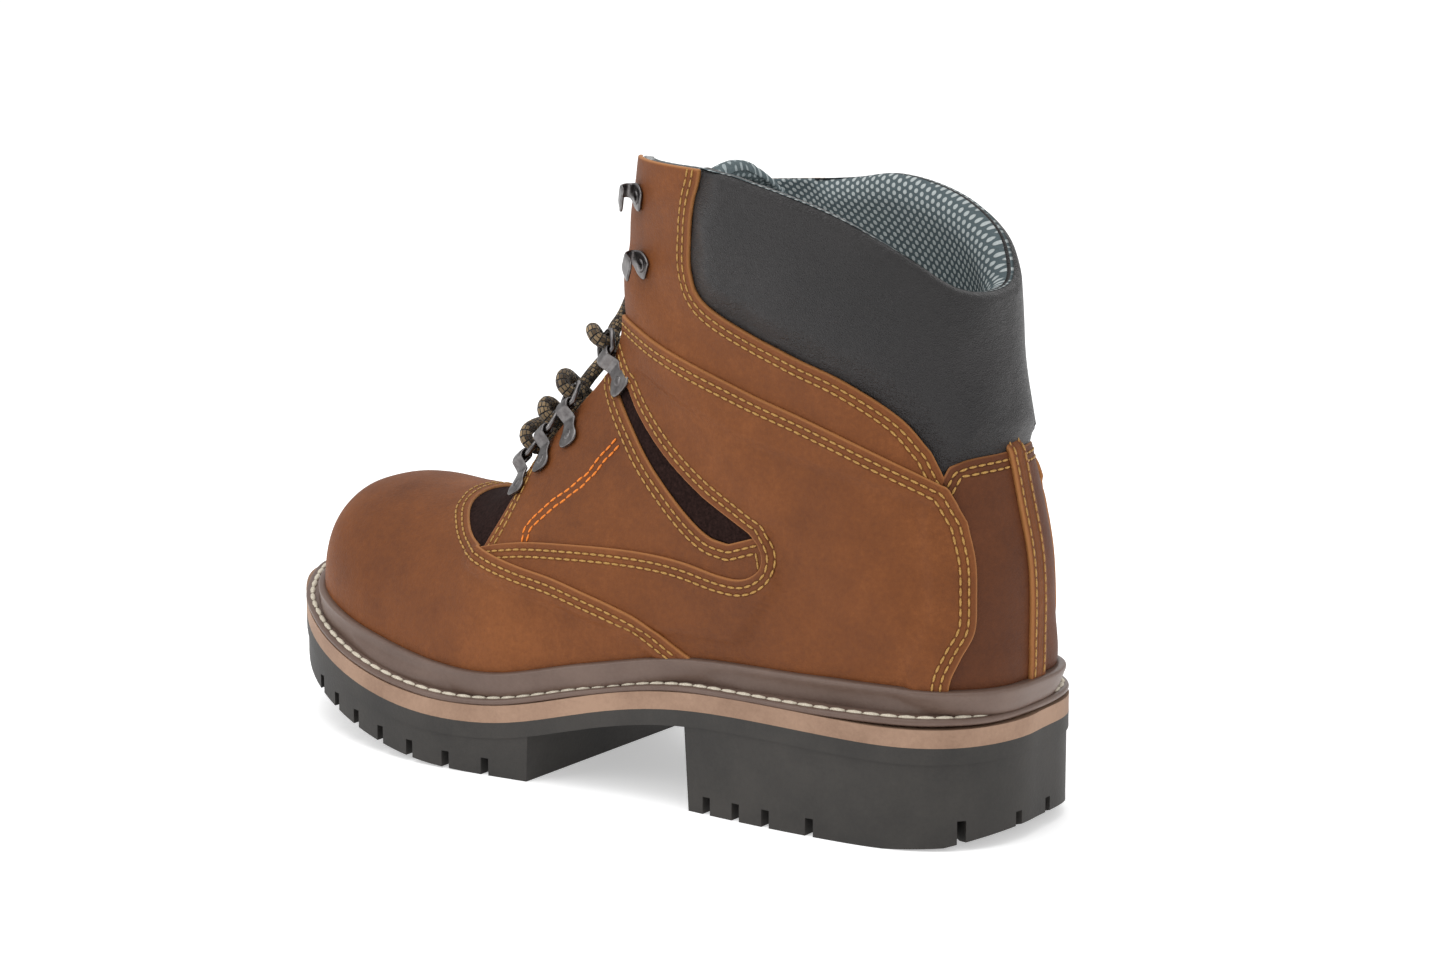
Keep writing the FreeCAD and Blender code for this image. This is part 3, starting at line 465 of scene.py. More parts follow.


# %% [markdown]
# The lace is a round woven cord, about 4.6 mm thick and limp. It bars across the bottom rings,
# crosses itself three times on the way up, and goes over the tongue through its keeper hole; the
# two ends hang down inside the boot, each in its aglet. One smooth spline goes through the
# given points of its route, and a tube is skinned on it so the weave can follow the cord.

# %% The lace's route
LACE_THICK = 0.0046
LACE_ROUTE = [
    (-28.0, -1.2, 187.0), (-25.0, -1.2, 195.0), (-17.9, -1.2, 201.4), (-11.5, -1.2, 194.5),
    (-4.0, -0.7, 183.5), (2.0, 1.2, 170.0), (5.5, 4.8, 156.0), (5.8, 11.9, 151.5), (2.2, 15.8, 147.5),
    (5.7, 21.8, 149.7), (9.9, 18.5, 154.3), (12.1, 3.3, 139.1), (18.0, -11.9, 127.6),
    (15.8, -15.8, 122.6), (18.6, -21.8, 125.7), (21.3, -18.5, 131.4), (22.7, -4.8, 124.3),
    (27.8, 8.9, 120.8), (26.9, 14.3, 117.0), (31.5, 18.3, 121.1), (33.0, 13.1, 125.7),
    (32.6, 1.8, 115.0), (35.8, -9.5, 107.9), (35.4, -14.6, 103.7), (38.8, -19.1, 108.3),
    (39.7, -14.3, 113.4), (41.2, 11.8, 115.5), (40.3, 17.3, 111.2), (35.7, 14.0, 106.6),
    (36.0, 8.3, 110.0), (35.2, -4.1, 117.9), (30.9, -16.4, 122.2), (29.2, -20.5, 116.6),
    (25.9, -15.2, 112.8), (27.0, -10.7, 117.6), (27.4, 2.2, 128.7), (24.3, 15.1, 136.2),
    (21.9, 19.6, 131.3), (18.0, 14.7, 127.5), (19.8, 9.8, 131.6), (15.9, -5.0, 143.5),
    (8.5, -19.7, 151.7), (4.0, -22.5, 146.9), (0.5, -16.3, 145.6), (4.2, -12.8, 149.9),
    (5.5, -12.8, 156.0), (2.0, -9.2, 170.0), (-4.0, -7.3, 183.5), (-11.5, -6.8, 194.5),
    (-17.9, -6.8, 201.4), (-25.0, -6.8, 195.0), (-28.0, -6.8, 187.0)]
TAIL_OUTER = [
    (-28.0, -1.2, 187.0), (-32.5, -1.2, 175.0), (-31.5, 0.4, 152.0), (-31.5, 3.7, 128.0),
    (-27.5, 8.1, 106.0), (-22.5, 11.9, 84.0), (-13.5, 15.8, 64.0), (1.5, 19.1, 49.0),
    (20.5, 20.2, 41.5), (39.5, 20.8, 39.2)]
TAIL_INNER = [
    (-28.0, -6.8, 187.0), (-32.5, -6.8, 175.0), (-31.5, -8.4, 152.0), (-31.5, -11.7, 128.0),
    (-27.5, -16.1, 106.0), (-22.5, -19.9, 84.0), (-13.5, -23.8, 64.0), (1.5, -27.1, 49.0),
    (20.5, -28.2, 41.5), (39.5, -28.8, 39.2)]


def spline_points(route):
    """Points along the smooth spline that has the route's points as its control points."""
    curve = bpy.data.curves.new("route", "CURVE")
    curve.dimensions = "3D"
    curve.resolution_u = 10
    spline = curve.splines.new("NURBS")
    spline.points.add(len(route) - 1)
    for point, place in zip(spline.points, route):
        point.co = (*[v * MM for v in place], 1)
    spline.order_u = 3
    spline.use_endpoint_u = True
    holder = bpy.data.objects.new("route", curve)
    bpy.context.collection.objects.link(holder)
    bpy.context.view_layer.update()
    line = bpy.data.meshes.new_from_object(holder.evaluated_get(bpy.context.evaluated_depsgraph_get()))
    points = np.array([v.co for v in line.vertices])
    bpy.data.objects.remove(holder)
    return points


# %% Weave finish and the tube that carries it
def weave_finish():
    """Dark cord with a beige dash on every third strand, wound round it, on the tube's UV."""
    made = Finish("lace_weave", roughness=0.8, Specular_IOR_Level=0.2, Sheen_Weight=0.2)
    slant = made.node("Mapping", links={"Vector": made.uv, "Scale": (10.0, 620.0, 1.0)})
    checks = made.node("TexBrick", {"offset": 0.5, "squash": 1.0}, {
        "Vector": slant, "Scale": 1.0, "Mortar Size": 0.16, "Brick Width": 1.0,
        "Row Height": 1.0, "Mortar Smooth": 0.6, "Bias": 0.0,
        "Color1": (0.30, 0.21, 0.115, 1), "Color2": (0.022, 0.012, 0.007, 1),
        "Mortar": (0.006, 0.004, 0.003, 1)})
    mortar = made.node("TexBrick", {"offset": 0.5}, {
        "Vector": slant, "Scale": 1.0, "Mortar Size": 0.16, "Brick Width": 1.0,
        "Row Height": 1.0, "Mortar Smooth": 1.0}, out=1)
    made.feed("Base Color", checks)
    made.emboss(1 - mortar, 0.0005, 1.0)
    return made.material


WEAVE = weave_finish()


def tube(name, line, radius, finish, nodes, sides=14):
    """A round skin on a line of points, with its length in metres along V."""
    ahead = np.gradient(line, axis=0)
    ahead /= np.linalg.norm(ahead, axis=1)[:, None]
    side = np.cross(ahead[0], (0.3, 0.2, 1.0))
    points, uv, run = [], [], 0.0
    for k, (p, t) in enumerate(zip(line, ahead)):
        side = side - t * side.dot(t)
        side /= np.linalg.norm(side)
        up = np.cross(t, side)
        if k:
            run += np.linalg.norm(p - line[k - 1])
        for j in range(sides + 1):
            a = 2 * math.pi * j / sides
            points.append(p + (side * math.cos(a) + up * math.sin(a)) * radius)
            uv.append((j / sides, run))
    n = sides + 1
    faces = [(i * n + j, i * n + j + 1, (i + 1) * n + j + 1, (i + 1) * n + j)
             for i in range(len(line) - 1) for j in range(sides)]
    made = piece(name, points, faces, finish, nodes, uv=uv)
    shell = bmesh.new()
    shell.from_mesh(made.data)
    bmesh.ops.remove_doubles(shell, verts=shell.verts, dist=1e-7)
    bmesh.ops.holes_fill(shell, edges=shell.edges)
    bmesh.ops.recalc_face_normals(shell, faces=shell.faces)
    shell.to_mesh(made.data)
    shell.free()
    print(name, "length %.3f m" % run)
    return made, run


def even_line(line, step=0.0012):
    """The same line with its points evenly spaced."""
    gaps = np.linalg.norm(np.diff(line, axis=0), axis=1)
    reach = np.concatenate([[0], np.cumsum(gaps)])
    goals = np.linspace(0, reach[-1], max(int(reach[-1] / step), 2))
    return np.stack([np.interp(goals, reach, line[:, k]) for k in range(3)], 1)


# %% Lace and its two ends
def lace_part(name, route, nodes):
    line = even_line(spline_points(route))
    made, length = tube(name, line, LACE_THICK / 2, WEAVE, nodes)
    return made


lace_part("lace_woven", LACE_ROUTE, ["lace"])
for word, route in (("outer", TAIL_OUTER), ("inner", TAIL_INNER)):
    lace_part("lace_end_" + word, route, ["lace_tail_" + word])

# %% [markdown]
# The upper is a hollow leather form. Its shape is set by rings that go round the foot: across the
# toes they stand upright, at the instep they lean, and up the ankle they lie flat. A smooth
# surface through the rings is the last on which every panel is cut, so no panel can float or gape.

# %% The rings
# Each row: the ring's front or top point (x, z), its back or bottom point (x, z), its middle y,
# its outer and inner half-width, how far down it is widest, and how square it is front and back.
RINGS = np.array([
    (297, 58, 297, 52, -12, 2, 2, 0.55, 2.0, 2.0), (294, 70, 294, 43, -12, 15, 14, 0.62, 2.1, 3.0),
    (288, 78, 288, 36, -12, 28, 26, 0.66, 2.2, 3.4), (277, 84, 278, 31, -10, 37, 34, 0.70, 2.3, 3.8),
    (260, 87, 262, 26, -8, 43, 40, 0.74, 2.3, 4.0), (238, 87, 241, 21, -5, 45, 44, 0.77, 2.2, 4.0),
    (214, 90, 215, 19, -1, 46, 45, 0.78, 2.1, 4.0), (194, 106, 186, 19, 2, 45, 44, 0.77, 2.0, 3.8),
    (180, 124, 148, 27, 2, 42, 39, 0.76, 2.0, 3.6), (169, 141, 100, 34, 1, 40, 36, 0.73, 2.0, 3.4),
    (163, 155, 52, 35, 0, 40, 37, 0.68, 2.0, 3.4), (161, 164, 18, 36, 0, 39, 38, 0.63, 2.1, 3.4),
    (160, 171, 3, 46, 0, 39, 38, 0.58, 2.2, 3.2), (159, 179, 1, 68, 0, 38, 37, 0.54, 2.3, 2.9),
    (157, 188, 2, 92, 0, 37, 36, 0.52, 2.3, 2.7), (154, 197, 8, 118, 0, 38, 37, 0.50, 2.4, 2.5),
    (151, 206, 14, 142, 0, 40, 39, 0.50, 2.4, 2.4), (149, 215, 17, 164, 0, 42, 41, 0.50, 2.4, 2.4),
    (147, 226, 19, 184, 0, 42, 42, 0.50, 2.4, 2.4), (145, 237, 21, 204, 0, 42, 43, 0.50, 2.4, 2.4)],
    float)


def read_rows(places):
    """Every column of the rings, read smoothly at each place."""
    out = np.zeros((len(places), RINGS.shape[1]))
    last = len(RINGS) - 1
    for n, place in enumerate(places):
        i = min(max(int(place), 0), last - 1)
        t = place - i
        p1, p2 = RINGS[i], RINGS[i + 1]
        p0 = RINGS[i - 1] if i else 2 * p1 - p2
        p3 = RINGS[i + 2] if i + 2 <= last else 2 * p2 - p1
        a = p0 - 2.5 * p1 + 2 * p2 - 0.5 * p3
        b = 1.5 * (p1 - p2) + 0.5 * (p3 - p0)
        out[n] = p1 + 0.5 * (p2 - p0) * t + a * t * t + b * t ** 3
    return out


def half_rings(places, side, count, fine=240):
    """Evenly spaced points from each ring's front to its back, on one side of the foot."""
    rows = read_rows(places)
    angle = np.linspace(0, math.pi, fine + 1)
    c, s = np.cos(angle), np.maximum(np.sin(angle), 0)
    out = np.zeros((len(places), count + 1, 3))
    for n, r in enumerate(rows):
        power = 2 / np.where(c > 0, r[8], r[9])
        reach = np.abs(c) ** power
        along = np.where(c > 0, r[7] * (1 - reach), r[7] + (1 - r[7]) * reach)
        half = r[5] if side > 0 else r[6]
        path = np.stack([r[0] + (r[2] - r[0]) * along, r[4] + side * half * s ** power,
                         r[1] + (r[3] - r[1]) * along], 1)
        gaps = np.linalg.norm(np.diff(path, axis=0), axis=1)
        far = np.concatenate([[0], np.cumsum(gaps)])
        goals = np.linspace(0, far[-1], count + 1)
        out[n] = np.stack([np.interp(goals, far, path[:, k]) for k in range(3)], 1)
    return out


# %% A fine grid on the whole form
AROUND = 112
PER_RING = (8, 9, 11, 16, 21, 24, 24, 22, 20, 18, 20, 18, 20, 20, 20, 22, 20, 22, 16)
PLACES = np.concatenate([k + np.arange(n) / n for k, n in enumerate(PER_RING)] + [[19.0]])
outer_half = half_rings(PLACES, 1, AROUND)
inner_half = half_rings(PLACES, -1, AROUND)
FORM = np.concatenate([outer_half, inner_half[:, -2:0:-1]], 1)
FORM[..., 0] += HEEL_X
ROWS, COLUMNS = FORM.shape[:2]


def grid_normals(points):
    """Outward normals of a grid that closes on itself round each row."""
    round_it = np.roll(points, -1, 1) - np.roll(points, 1, 1)
    along = np.gradient(points, axis=0)
    n = np.cross(round_it, along)
    n /= np.maximum(np.linalg.norm(n, axis=2), 1e-9)[..., None]
    middle = points.mean(axis=1, keepdims=True)
    flip = np.sign(((points - middle) * n).sum(axis=(1, 2)))
    return n * flip[:, None, None]


NORMAL = grid_normals(FORM)
print("form", ROWS, "rows of", COLUMNS)

# %% [markdown]
# A panel is cut by drawing its outline on the side of the boot, as a pattern cutter does with
# pins and a pen. The signed distance from that outline is known at every point of the form, so
# the surface can be trimmed exactly on the line, given the leather's thickness, and its corner
# rolled over. The same distance tells the stitch maker where a row runs, two and a half
# millimetres in from the edge. Where a panel lies over others it is lifted by their thickness.

# %% The panel lines
COLLAR_EDGE = [(104, 240), (105, 213), (108, 202), (111, 190), (112, 178), (107, 169), (88, 161),
               (70, 155), (52, 149), (34, 139), (24, 128), (19, 122), (8, 124), (-10, 122)]
VAMP_EDGE = [(229, 130), (227, 95), (224, 87), (216, 82), (206, 78), (194, 75.5), (178, 73), (163, 71),
             (150, 68), (138, 65), (126, 61), (110, 52), (101, 47), (90, 36), (84, 10)]
FACING_FRONT = [(190, 130), (190, 108), (191, 97), (194, 86), (199, 74)]
QUARTER_EDGE = [(199, 76), (188, 79), (174, 81.5), (148, 83.5), (127, 84), (112, 83), (97, 80.5),
                (88, 80.5), (82, 84), (81, 89), (84, 94), (88, 96)]
SLOT_FRONT = [(153, 137), (142, 125), (129, 112), (116, 101), (104, 93), (95, 91)]
SLOT_BACK = [(88, 96), (95, 99.5), (108, 106), (122, 115), (137, 127), (146, 137)]
ANKLE_LINE = [(175, 163), (146, 158), (127, 153), (89, 142), (64, 135), (46, 129), (29, 122), (19, 117)]
HEEL_SEAM = [(19, 118), (13, 106), (10, 94), (9, 82), (9, 71), (12, 62), (15, 52), (17, 30)]
RIM_OUTER = [(-20, 172), (8, 172), (20, 178), (33, 190), (54, 202), (82, 210), (105, 213), (170, 213)]
RIM_INNER = [(-20, 172), (8, 172), (20, 178), (33, 190), (54, 200), (80, 205), (105, 202), (170, 199)]
WELT = [(-0.05, 42), (0.19, 41), (0.355, 40), (0.48, 33), (0.595, 25), (0.69, 24.5), (0.80, 29),
        (0.90, 36.8), (1.0, 46), (1.05, 51)]
THROAT_HALF = 19.0


def outline_distance(points, outline):
    """Signed distance from a closed outline in two coordinates, positive inside it, and the
    direction away from its nearest point."""
    ring = np.vstack([outline, outline[:1]])
    best = np.full(len(points), 1e9)
    away = np.zeros((len(points), 2))
    inside = np.zeros(len(points), bool)
    for a, b in zip(ring[:-1], ring[1:]):
        ab = b - a
        t = np.clip(((points - a) @ ab) / max(ab @ ab, 1e-12), 0, 1)
        gap = points - (a + t[:, None] * ab)
        d = np.linalg.norm(gap, axis=1)
        nearer = d < best
        best[nearer] = d[nearer]
        away[nearer] = gap[nearer]
        crosses = (a[1] > points[:, 1]) != (b[1] > points[:, 1])
        if a[1] != b[1]:
            at = a[0] + (points[:, 1] - a[1]) / (b[1] - a[1]) * ab[0]
            inside ^= crosses & (points[:, 0] < at)
    return np.where(inside, best, -best), away / np.maximum(best, 1e-9)[:, None]


# %% Distances on the form
P = FORM.reshape(-1, 3)
N = NORMAL.reshape(-1, 3)
HEEL_FRAME = P - (HEEL_X, 0, 0)
SIDE_VIEW = HEEL_FRAME[:, [0, 2]]


def side_distance(outline):
    """Distance along the leather from a side-view outline, in millimetres."""
    d, away = outline_distance(SIDE_VIEW, np.array(outline, float))
    facing = away[:, 0] * N[:, 0] + away[:, 1] * N[:, 2]
    return d / np.sqrt(np.clip(1 - facing ** 2, 0.12, 1))


def line_of(*pieces):
    """One closed outline from smooth lines and plain corners; a plain corner is one pair."""
    out = []
    for part in pieces:
        out += [part] if isinstance(part, tuple) else [tuple(p) for p in sprung(part)]
    return out


OUTER_SIDE = HEEL_FRAME[:, 1] > 0
rim_outer = side_distance(line_of(RIM_OUTER, (170, -60), (-60, -60), (-60, 172)) )
rim_inner = side_distance(line_of(RIM_INNER, (170, -60), (-60, -60), (-60, 172)))
UNDER_RIM = np.where(OUTER_SIDE, rim_outer, rim_inner)
UNDER_RIM = np.where(HEEL_FRAME[:, 0] > 160, 50, UNDER_RIM)
welt_x = np.array([x * 311 for x, _ in WELT])
welt_z = np.array([z for _, z in WELT])
OVER_WELT = HEEL_FRAME[:, 2] - np.interp(HEEL_FRAME[:, 0], welt_x, welt_z) + 2
front_half = np.clip((HEEL_FRAME[:, 2] - 98) / 14, 0, 1) ** 0.5 * THROAT_HALF
in_throat = (HEEL_FRAME[:, 0] > 118) & (HEEL_FRAME[:, 0] < 203) & (HEEL_FRAME[:, 2] > 97)
THROAT_D = np.abs(HEEL_FRAME[:, 1]) - front_half
OUT_OF_THROAT = np.where(in_throat, THROAT_D, 30)
print("throat points", int(in_throat.sum()))

# %% The panels' regions
vamp = side_distance(line_of(VAMP_EDGE, (360, 10), (360, 130)))
facing = side_distance(line_of(FACING_FRONT, QUARTER_EDGE[:-1], SLOT_FRONT[::-1], (160, 146), (190, 150)))
slot = side_distance(line_of((150, 147), SLOT_FRONT, (88, 80), (80, 90), (84, 100), (146, 147)))
quarter = side_distance(line_of(
    ANKLE_LINE, HEEL_SEAM[1:], (120, 20), (205, 20), (205, 74), QUARTER_EDGE, SLOT_BACK, (156, 147),
    (185, 150)))
eyestay = side_distance(line_of(COLLAR_EDGE[:-3], (16, 112), (90, 128), (140, 144), (146, 137), (215, 137),
                                (215, 240)))
counter = side_distance(line_of([(19, 123.5), (12, 126), (-10, 127)], (-60, 127), (-60, 20), (30, 20),
                                (26, 60), (22, 90), (24, 110)))
insert = side_distance(line_of((185, 140), (185, 100), (194, 70), (245, 70), (245, 140)))
collar = side_distance(line_of(COLLAR_EDGE, (-60, 122), (-60, 240)))
print("regions", [int((d > 0).sum()) for d in (vamp, facing, slot, quarter, eyestay, counter)])

# %% [markdown]
# Cutting and building one panel. The form's triangles are split on the panel's line and on two
# lines just inside it, so the rolled corner has real edges to bend on. The top is lifted by the
# panel's thickness, the underside stays down, and a wall joins them: a closed piece of leather.

# %% Cutting a grid on a level line
quad_i = np.arange(ROWS - 1)[:, None] * COLUMNS
quad_j = np.arange(COLUMNS)[None, :]
next_j = (quad_j + 1) % COLUMNS
corner_a, corner_b = (quad_i + quad_j).ravel(), (quad_i + next_j).ravel()
corner_c, corner_d = corner_b + COLUMNS, corner_a + COLUMNS
TRIANGLES = np.concatenate([np.stack([corner_a, corner_b, corner_c], 1),
                            np.stack([corner_a, corner_c, corner_d], 1)])


def split(data, triangles, column, level, keep_both):
    """Split triangles where data's column crosses level; drop what is below unless keep_both."""
    above = data[:, column] > level
    count = above[triangles].sum(1)
    out = [triangles[count == 3]]
    if keep_both:
        out.append(triangles[count == 0])
    fresh, made, extra = [], {}, []

    def cut_point(a, b):
        key = (min(a, b), max(a, b))
        if key not in made:
            va, vb = data[key[0], column], data[key[1], column]
            t = (level - va) / (vb - va)
            t = min(max(t, 0.02), 0.98)
            extra.append(data[key[0]] * (1 - t) + data[key[1]] * t)
            made[key] = len(data) + len(extra) - 1
        return made[key]

    for tri in triangles[(count == 1) | (count == 2)]:
        flags = above[tri]
        lone = int(np.flatnonzero(flags == (flags.sum() == 1))[0])
        a, b, c = (int(tri[(lone + k) % 3]) for k in range(3))
        ab, ac = cut_point(a, b), cut_point(a, c)
        if above[a] or keep_both:
            fresh.append((a, ab, ac))
        if not above[a] or keep_both:
            fresh += [(ab, b, c), (ab, c, ac)]
    if fresh:
        out.append(np.array(fresh))
    if extra:
        data = np.vstack([data, extra])
    return data, np.concatenate(out)


def used_only(data, triangles):
    """The same surface with its unused points left out."""
    used = np.unique(triangles)
    place = np.full(len(data), -1)
    place[used] = np.arange(len(used))
    return data[used], place[triangles]


# %% Smooth steps and the gentle waves of hand-lasted leather
def smooth(x):
    x = np.clip(x, 0, 1)
    return x * x * (3 - 2 * x)


WAVE = (np.sin(P[:, 0] / 9.1 + P[:, 2] / 13) * np.sin(P[:, 2] / 7.7 + 1.3)
        + 0.6 * np.sin(P[:, 0] / 4.3 + P[:, 1] / 6.1) * np.sin(P[:, 2] / 5.2)) * 0.16

around_step = np.linalg.norm(np.roll(FORM, -1, 1) - FORM, axis=2).mean(axis=0)
along_step = np.linalg.norm(np.diff(FORM[:, COLUMNS // 4], axis=0), axis=1)
GRID_U = np.tile(np.concatenate([[0], np.cumsum(around_step)[:-1]]), ROWS) * MM
GRID_V = np.repeat(np.concatenate([[0], np.cumsum(along_step)]), COLUMNS) * MM

# %% Build one panel
ROLL = 0.8
SEAMS = []


def panel(name, region, seam, under, finish, nodes, thick=1.5, base=-1.5, stitches=(2.6, 5.0),
          roll=ROLL, thread=None, shape=None, levels=(0.3, ROLL), extra=None):
    """A closed leather panel. region is its signed distance, seam the distance from its sewn edge,
    under the regions of the panels that it lies on. shape, if given, sets both its heights."""
    lift = np.zeros(len(P))
    for lower in under:
        lift += 1.4 * smooth((lower + 2.6) / 2.8)
    data = np.column_stack([P, N, region, seam, lift, WAVE, GRID_U, GRID_V, UNDER_RIM, collar,
                            np.zeros(len(P)) if extra is None else extra])
    keep = (region[TRIANGLES] > 0).any(1)
    data, tris = split(data, TRIANGLES[keep], 6, 0.0, False)
    for level in levels:
        data, tris = split(data, tris, 6, level, True)
    data, tris = used_only(data, tris)
    edge = data[:, 6]
    rolled = roll - np.sqrt(np.maximum(roll ** 2 - (roll - np.clip(edge, 0, roll)) ** 2, 0))
    top_height = base + data[:, 8] + thick + data[:, 9] - rolled * 0.9
    low_height = base + data[:, 8] + data[:, 9]
    if shape:
        top_height, low_height = shape(data)
    top = data[:, :3] + data[:, 3:6] * top_height[:, None]
    low = data[:, :3] + data[:, 3:6] * low_height[:, None]
    count = len(data)
    edges = np.concatenate([tris[:, [0, 1]], tris[:, [1, 2]], tris[:, [2, 0]]])
    key = np.sort(edges, 1)
    key = key[:, 0].astype(np.int64) * count + key[:, 1]
    _, first, times = np.unique(key, return_index=True, return_counts=True)
    rim = edges[first[times == 1]]
    walls = np.concatenate([np.stack([rim[:, 1], rim[:, 0], rim[:, 0] + count], 1),
                            np.stack([rim[:, 1], rim[:, 0] + count, rim[:, 1] + count], 1)])
    faces = np.concatenate([tris, tris[:, ::-1] + count, walls])
    facing_out = np.cross(top[tris[:, 1]] - top[tris[:, 0]], top[tris[:, 2]] - top[tris[:, 0]])
    if (facing_out * data[tris[:, 0], 3:6]).sum() < 0:
        faces = faces[:, ::-1]
    fields = {"edge_mm": np.concatenate([edge, np.full(count, -1.0)]),
              "seam_mm": np.tile(data[:, 7], 2)}
    made = piece(name, np.vstack([top, low]) * MM, faces, finish, nodes, fields=fields,
                 uv=np.tile(data[:, 10:12], (2, 1)))
    for offset in stitches:
        SEAMS.append((data, tris, offset, top_height, thread or GOLD, name))
    print(name, len(faces), "triangles")
    return made


# %% [markdown]
# The panels go on from the inside out, in the order they are sewn: black textile behind the
# openings, then the eyestay over the collar's edge, the ring facing, the heel counter, the
# quarter over all of those, and last the toe panel over everything in front.

# %% All the panels
MARGIN = 7.0


def both(name):
    return [name + "_outer", name + "_inner"]


clear = np.minimum(UNDER_RIM, OVER_WELT)
insert_region = np.minimum(insert, clear)
slot_region = np.minimum.reduce([slot, clear, OUT_OF_THROAT])
facing_seam = side_distance(line_of(FACING_FRONT, (205, 60), (90, 60), (76, 80), (80, 96), (95, 91),
                                    SLOT_FRONT[::-1], (160, 150), (190, 150)))
facing_region = np.minimum.reduce([facing_seam, MARGIN - vamp, clear, OUT_OF_THROAT])
eyestay_region = np.minimum.reduce([eyestay, clear, OUT_OF_THROAT])
counter_region = np.minimum.reduce([counter, MARGIN + 6 - quarter, OVER_WELT])
quarter_region = np.minimum.reduce([quarter, MARGIN - vamp, clear, OUT_OF_THROAT])
vamp_region = np.minimum(vamp, OVER_WELT)

panel("vamp_insert_textile", insert_region, insert, [], TEXTILE, ["vamp_insert"],
      thick=1.0, base=-2.0, stitches=())
panel("flex_insert_textile", slot_region, slot, [], TEXTILE, both("flex_insert"),
      thick=1.0, base=-2.0, stitches=())
panel("eyestay_panel", eyestay_region, eyestay, [], TAN, both("eyestay"))
# the heel counter takes the darker copy of the tan leather, its painted shade
panel("counter_panel", counter_region, counter, [], SHADED_HEEL_TAN, ["counter_leather"])
panel("ring_facing_panel", facing_region, facing_seam, [], TAN, both("ring_facing"))
panel("quarter_panel", quarter_region, quarter, [eyestay_region, facing_region, counter_region], TAN,
      both("quarter"))
panel("vamp_panel", vamp_region, vamp, [quarter_region, facing_region], TAN,
      ["vamp_leather"])

# %% [markdown]
# The collar is a padded roll: soft black leather outside, foam in the middle, spacer mesh inside.
# It swells away from the seams that hold it and rolls over at the rim, so its height above the
# form is a rule: a plump curve near each seam and a quarter circle at the rim. The mesh follows
# the same rule from the inside and carries on down as the boot's lining.

# %% Collar and lining
PLUMP = 2.4
RIPPLE = 0.22
ROLL_OUT = 3.4
ROLL_IN = 9.4
RIM_LEVELS = (0.08, 0.3, 0.7, 1.3, 2.1, 3.2, 4.6, 6.4)


def quarter_circle(distance, radius):
    """How far a rolled rim has dropped at a distance from its top line."""
    near = radius - np.clip(distance, 0, radius)
    return radius - np.sqrt(np.maximum(radius ** 2 - near ** 2, 0))


def collar_heights(data):
    held = smooth((data[:, 13] + 3) / 15)
    ripple = RIPPLE * np.sin(data[:, 10] / 0.0031 + 3 * np.sin(data[:, 11] / 0.011))
    ripple *= np.exp(-((data[:, 13] - 7) / 7) ** 2)
    top = -1.9 + (PLUMP + 1.9) * held + ripple + data[:, 9] * 1.6
    top -= quarter_circle(data[:, 12], ROLL_OUT)
    return top, top - 1.3


def lining_heights(data):
    thick = smooth((data[:, 13] + 6) / 14)
    radius = 1.2 + (ROLL_IN - 1.2) * thick
    low = -6.0 - (ROLL_OUT + ROLL_IN - PLUMP - 6.0) * thick
    low += quarter_circle(data[:, 12], radius) + 0.4 * (1 - thick) * smooth(data[:, 12] / 6)
    return low + 1.0, low


collar_region = np.minimum.reduce([collar + 3, UNDER_RIM])
panel("collar_roll", collar_region, collar, [], COLLAR, ["collar_leather", "collar_foam"],
      stitches=(), shape=collar_heights, levels=RIM_LEVELS)
lining_region = np.minimum(np.minimum(UNDER_RIM, OVER_WELT - 4), np.where(in_throat, THROAT_D - 9, 30))
panel("lining_sheet", lining_region, UNDER_RIM, [], MESH, ["lining", "collar_lining"],
      stitches=(), shape=lining_heights, levels=RIM_LEVELS)
rim_padding = np.minimum.reduce([UNDER_RIM - 0.1, 5 - UNDER_RIM, -2 - collar, OUT_OF_THROAT])
panel("rim_padding", rim_padding, UNDER_RIM, [], FUZZ, [], thick=3.4, base=-5.2, stitches=())

# %% Tongue
TONGUE_ROWS = [(207, 81, 0, 20, 5, 0), (188, 93, 0, 23.5, 11, 0), (171, 110, 0, 24.5, 14, 0),
               (159, 129, 0, 24.5, 19, 0), (151, 149, 0, 24.5, 25, 0), (148, 167, -1, 24.5, 27.5, 4),
               (145, 182, -3, 25, 24, 12), (137, 193, -4, 25, 17, 20), (129, 201, -5, 23, 10, 28),
               (125, 205, -5, 17, 6, 30), (121.5, 207.5, -5, 9, 3, 30), (120, 208.3, -5, 2, 1, 30)]
TONGUE_HALF = 3.6


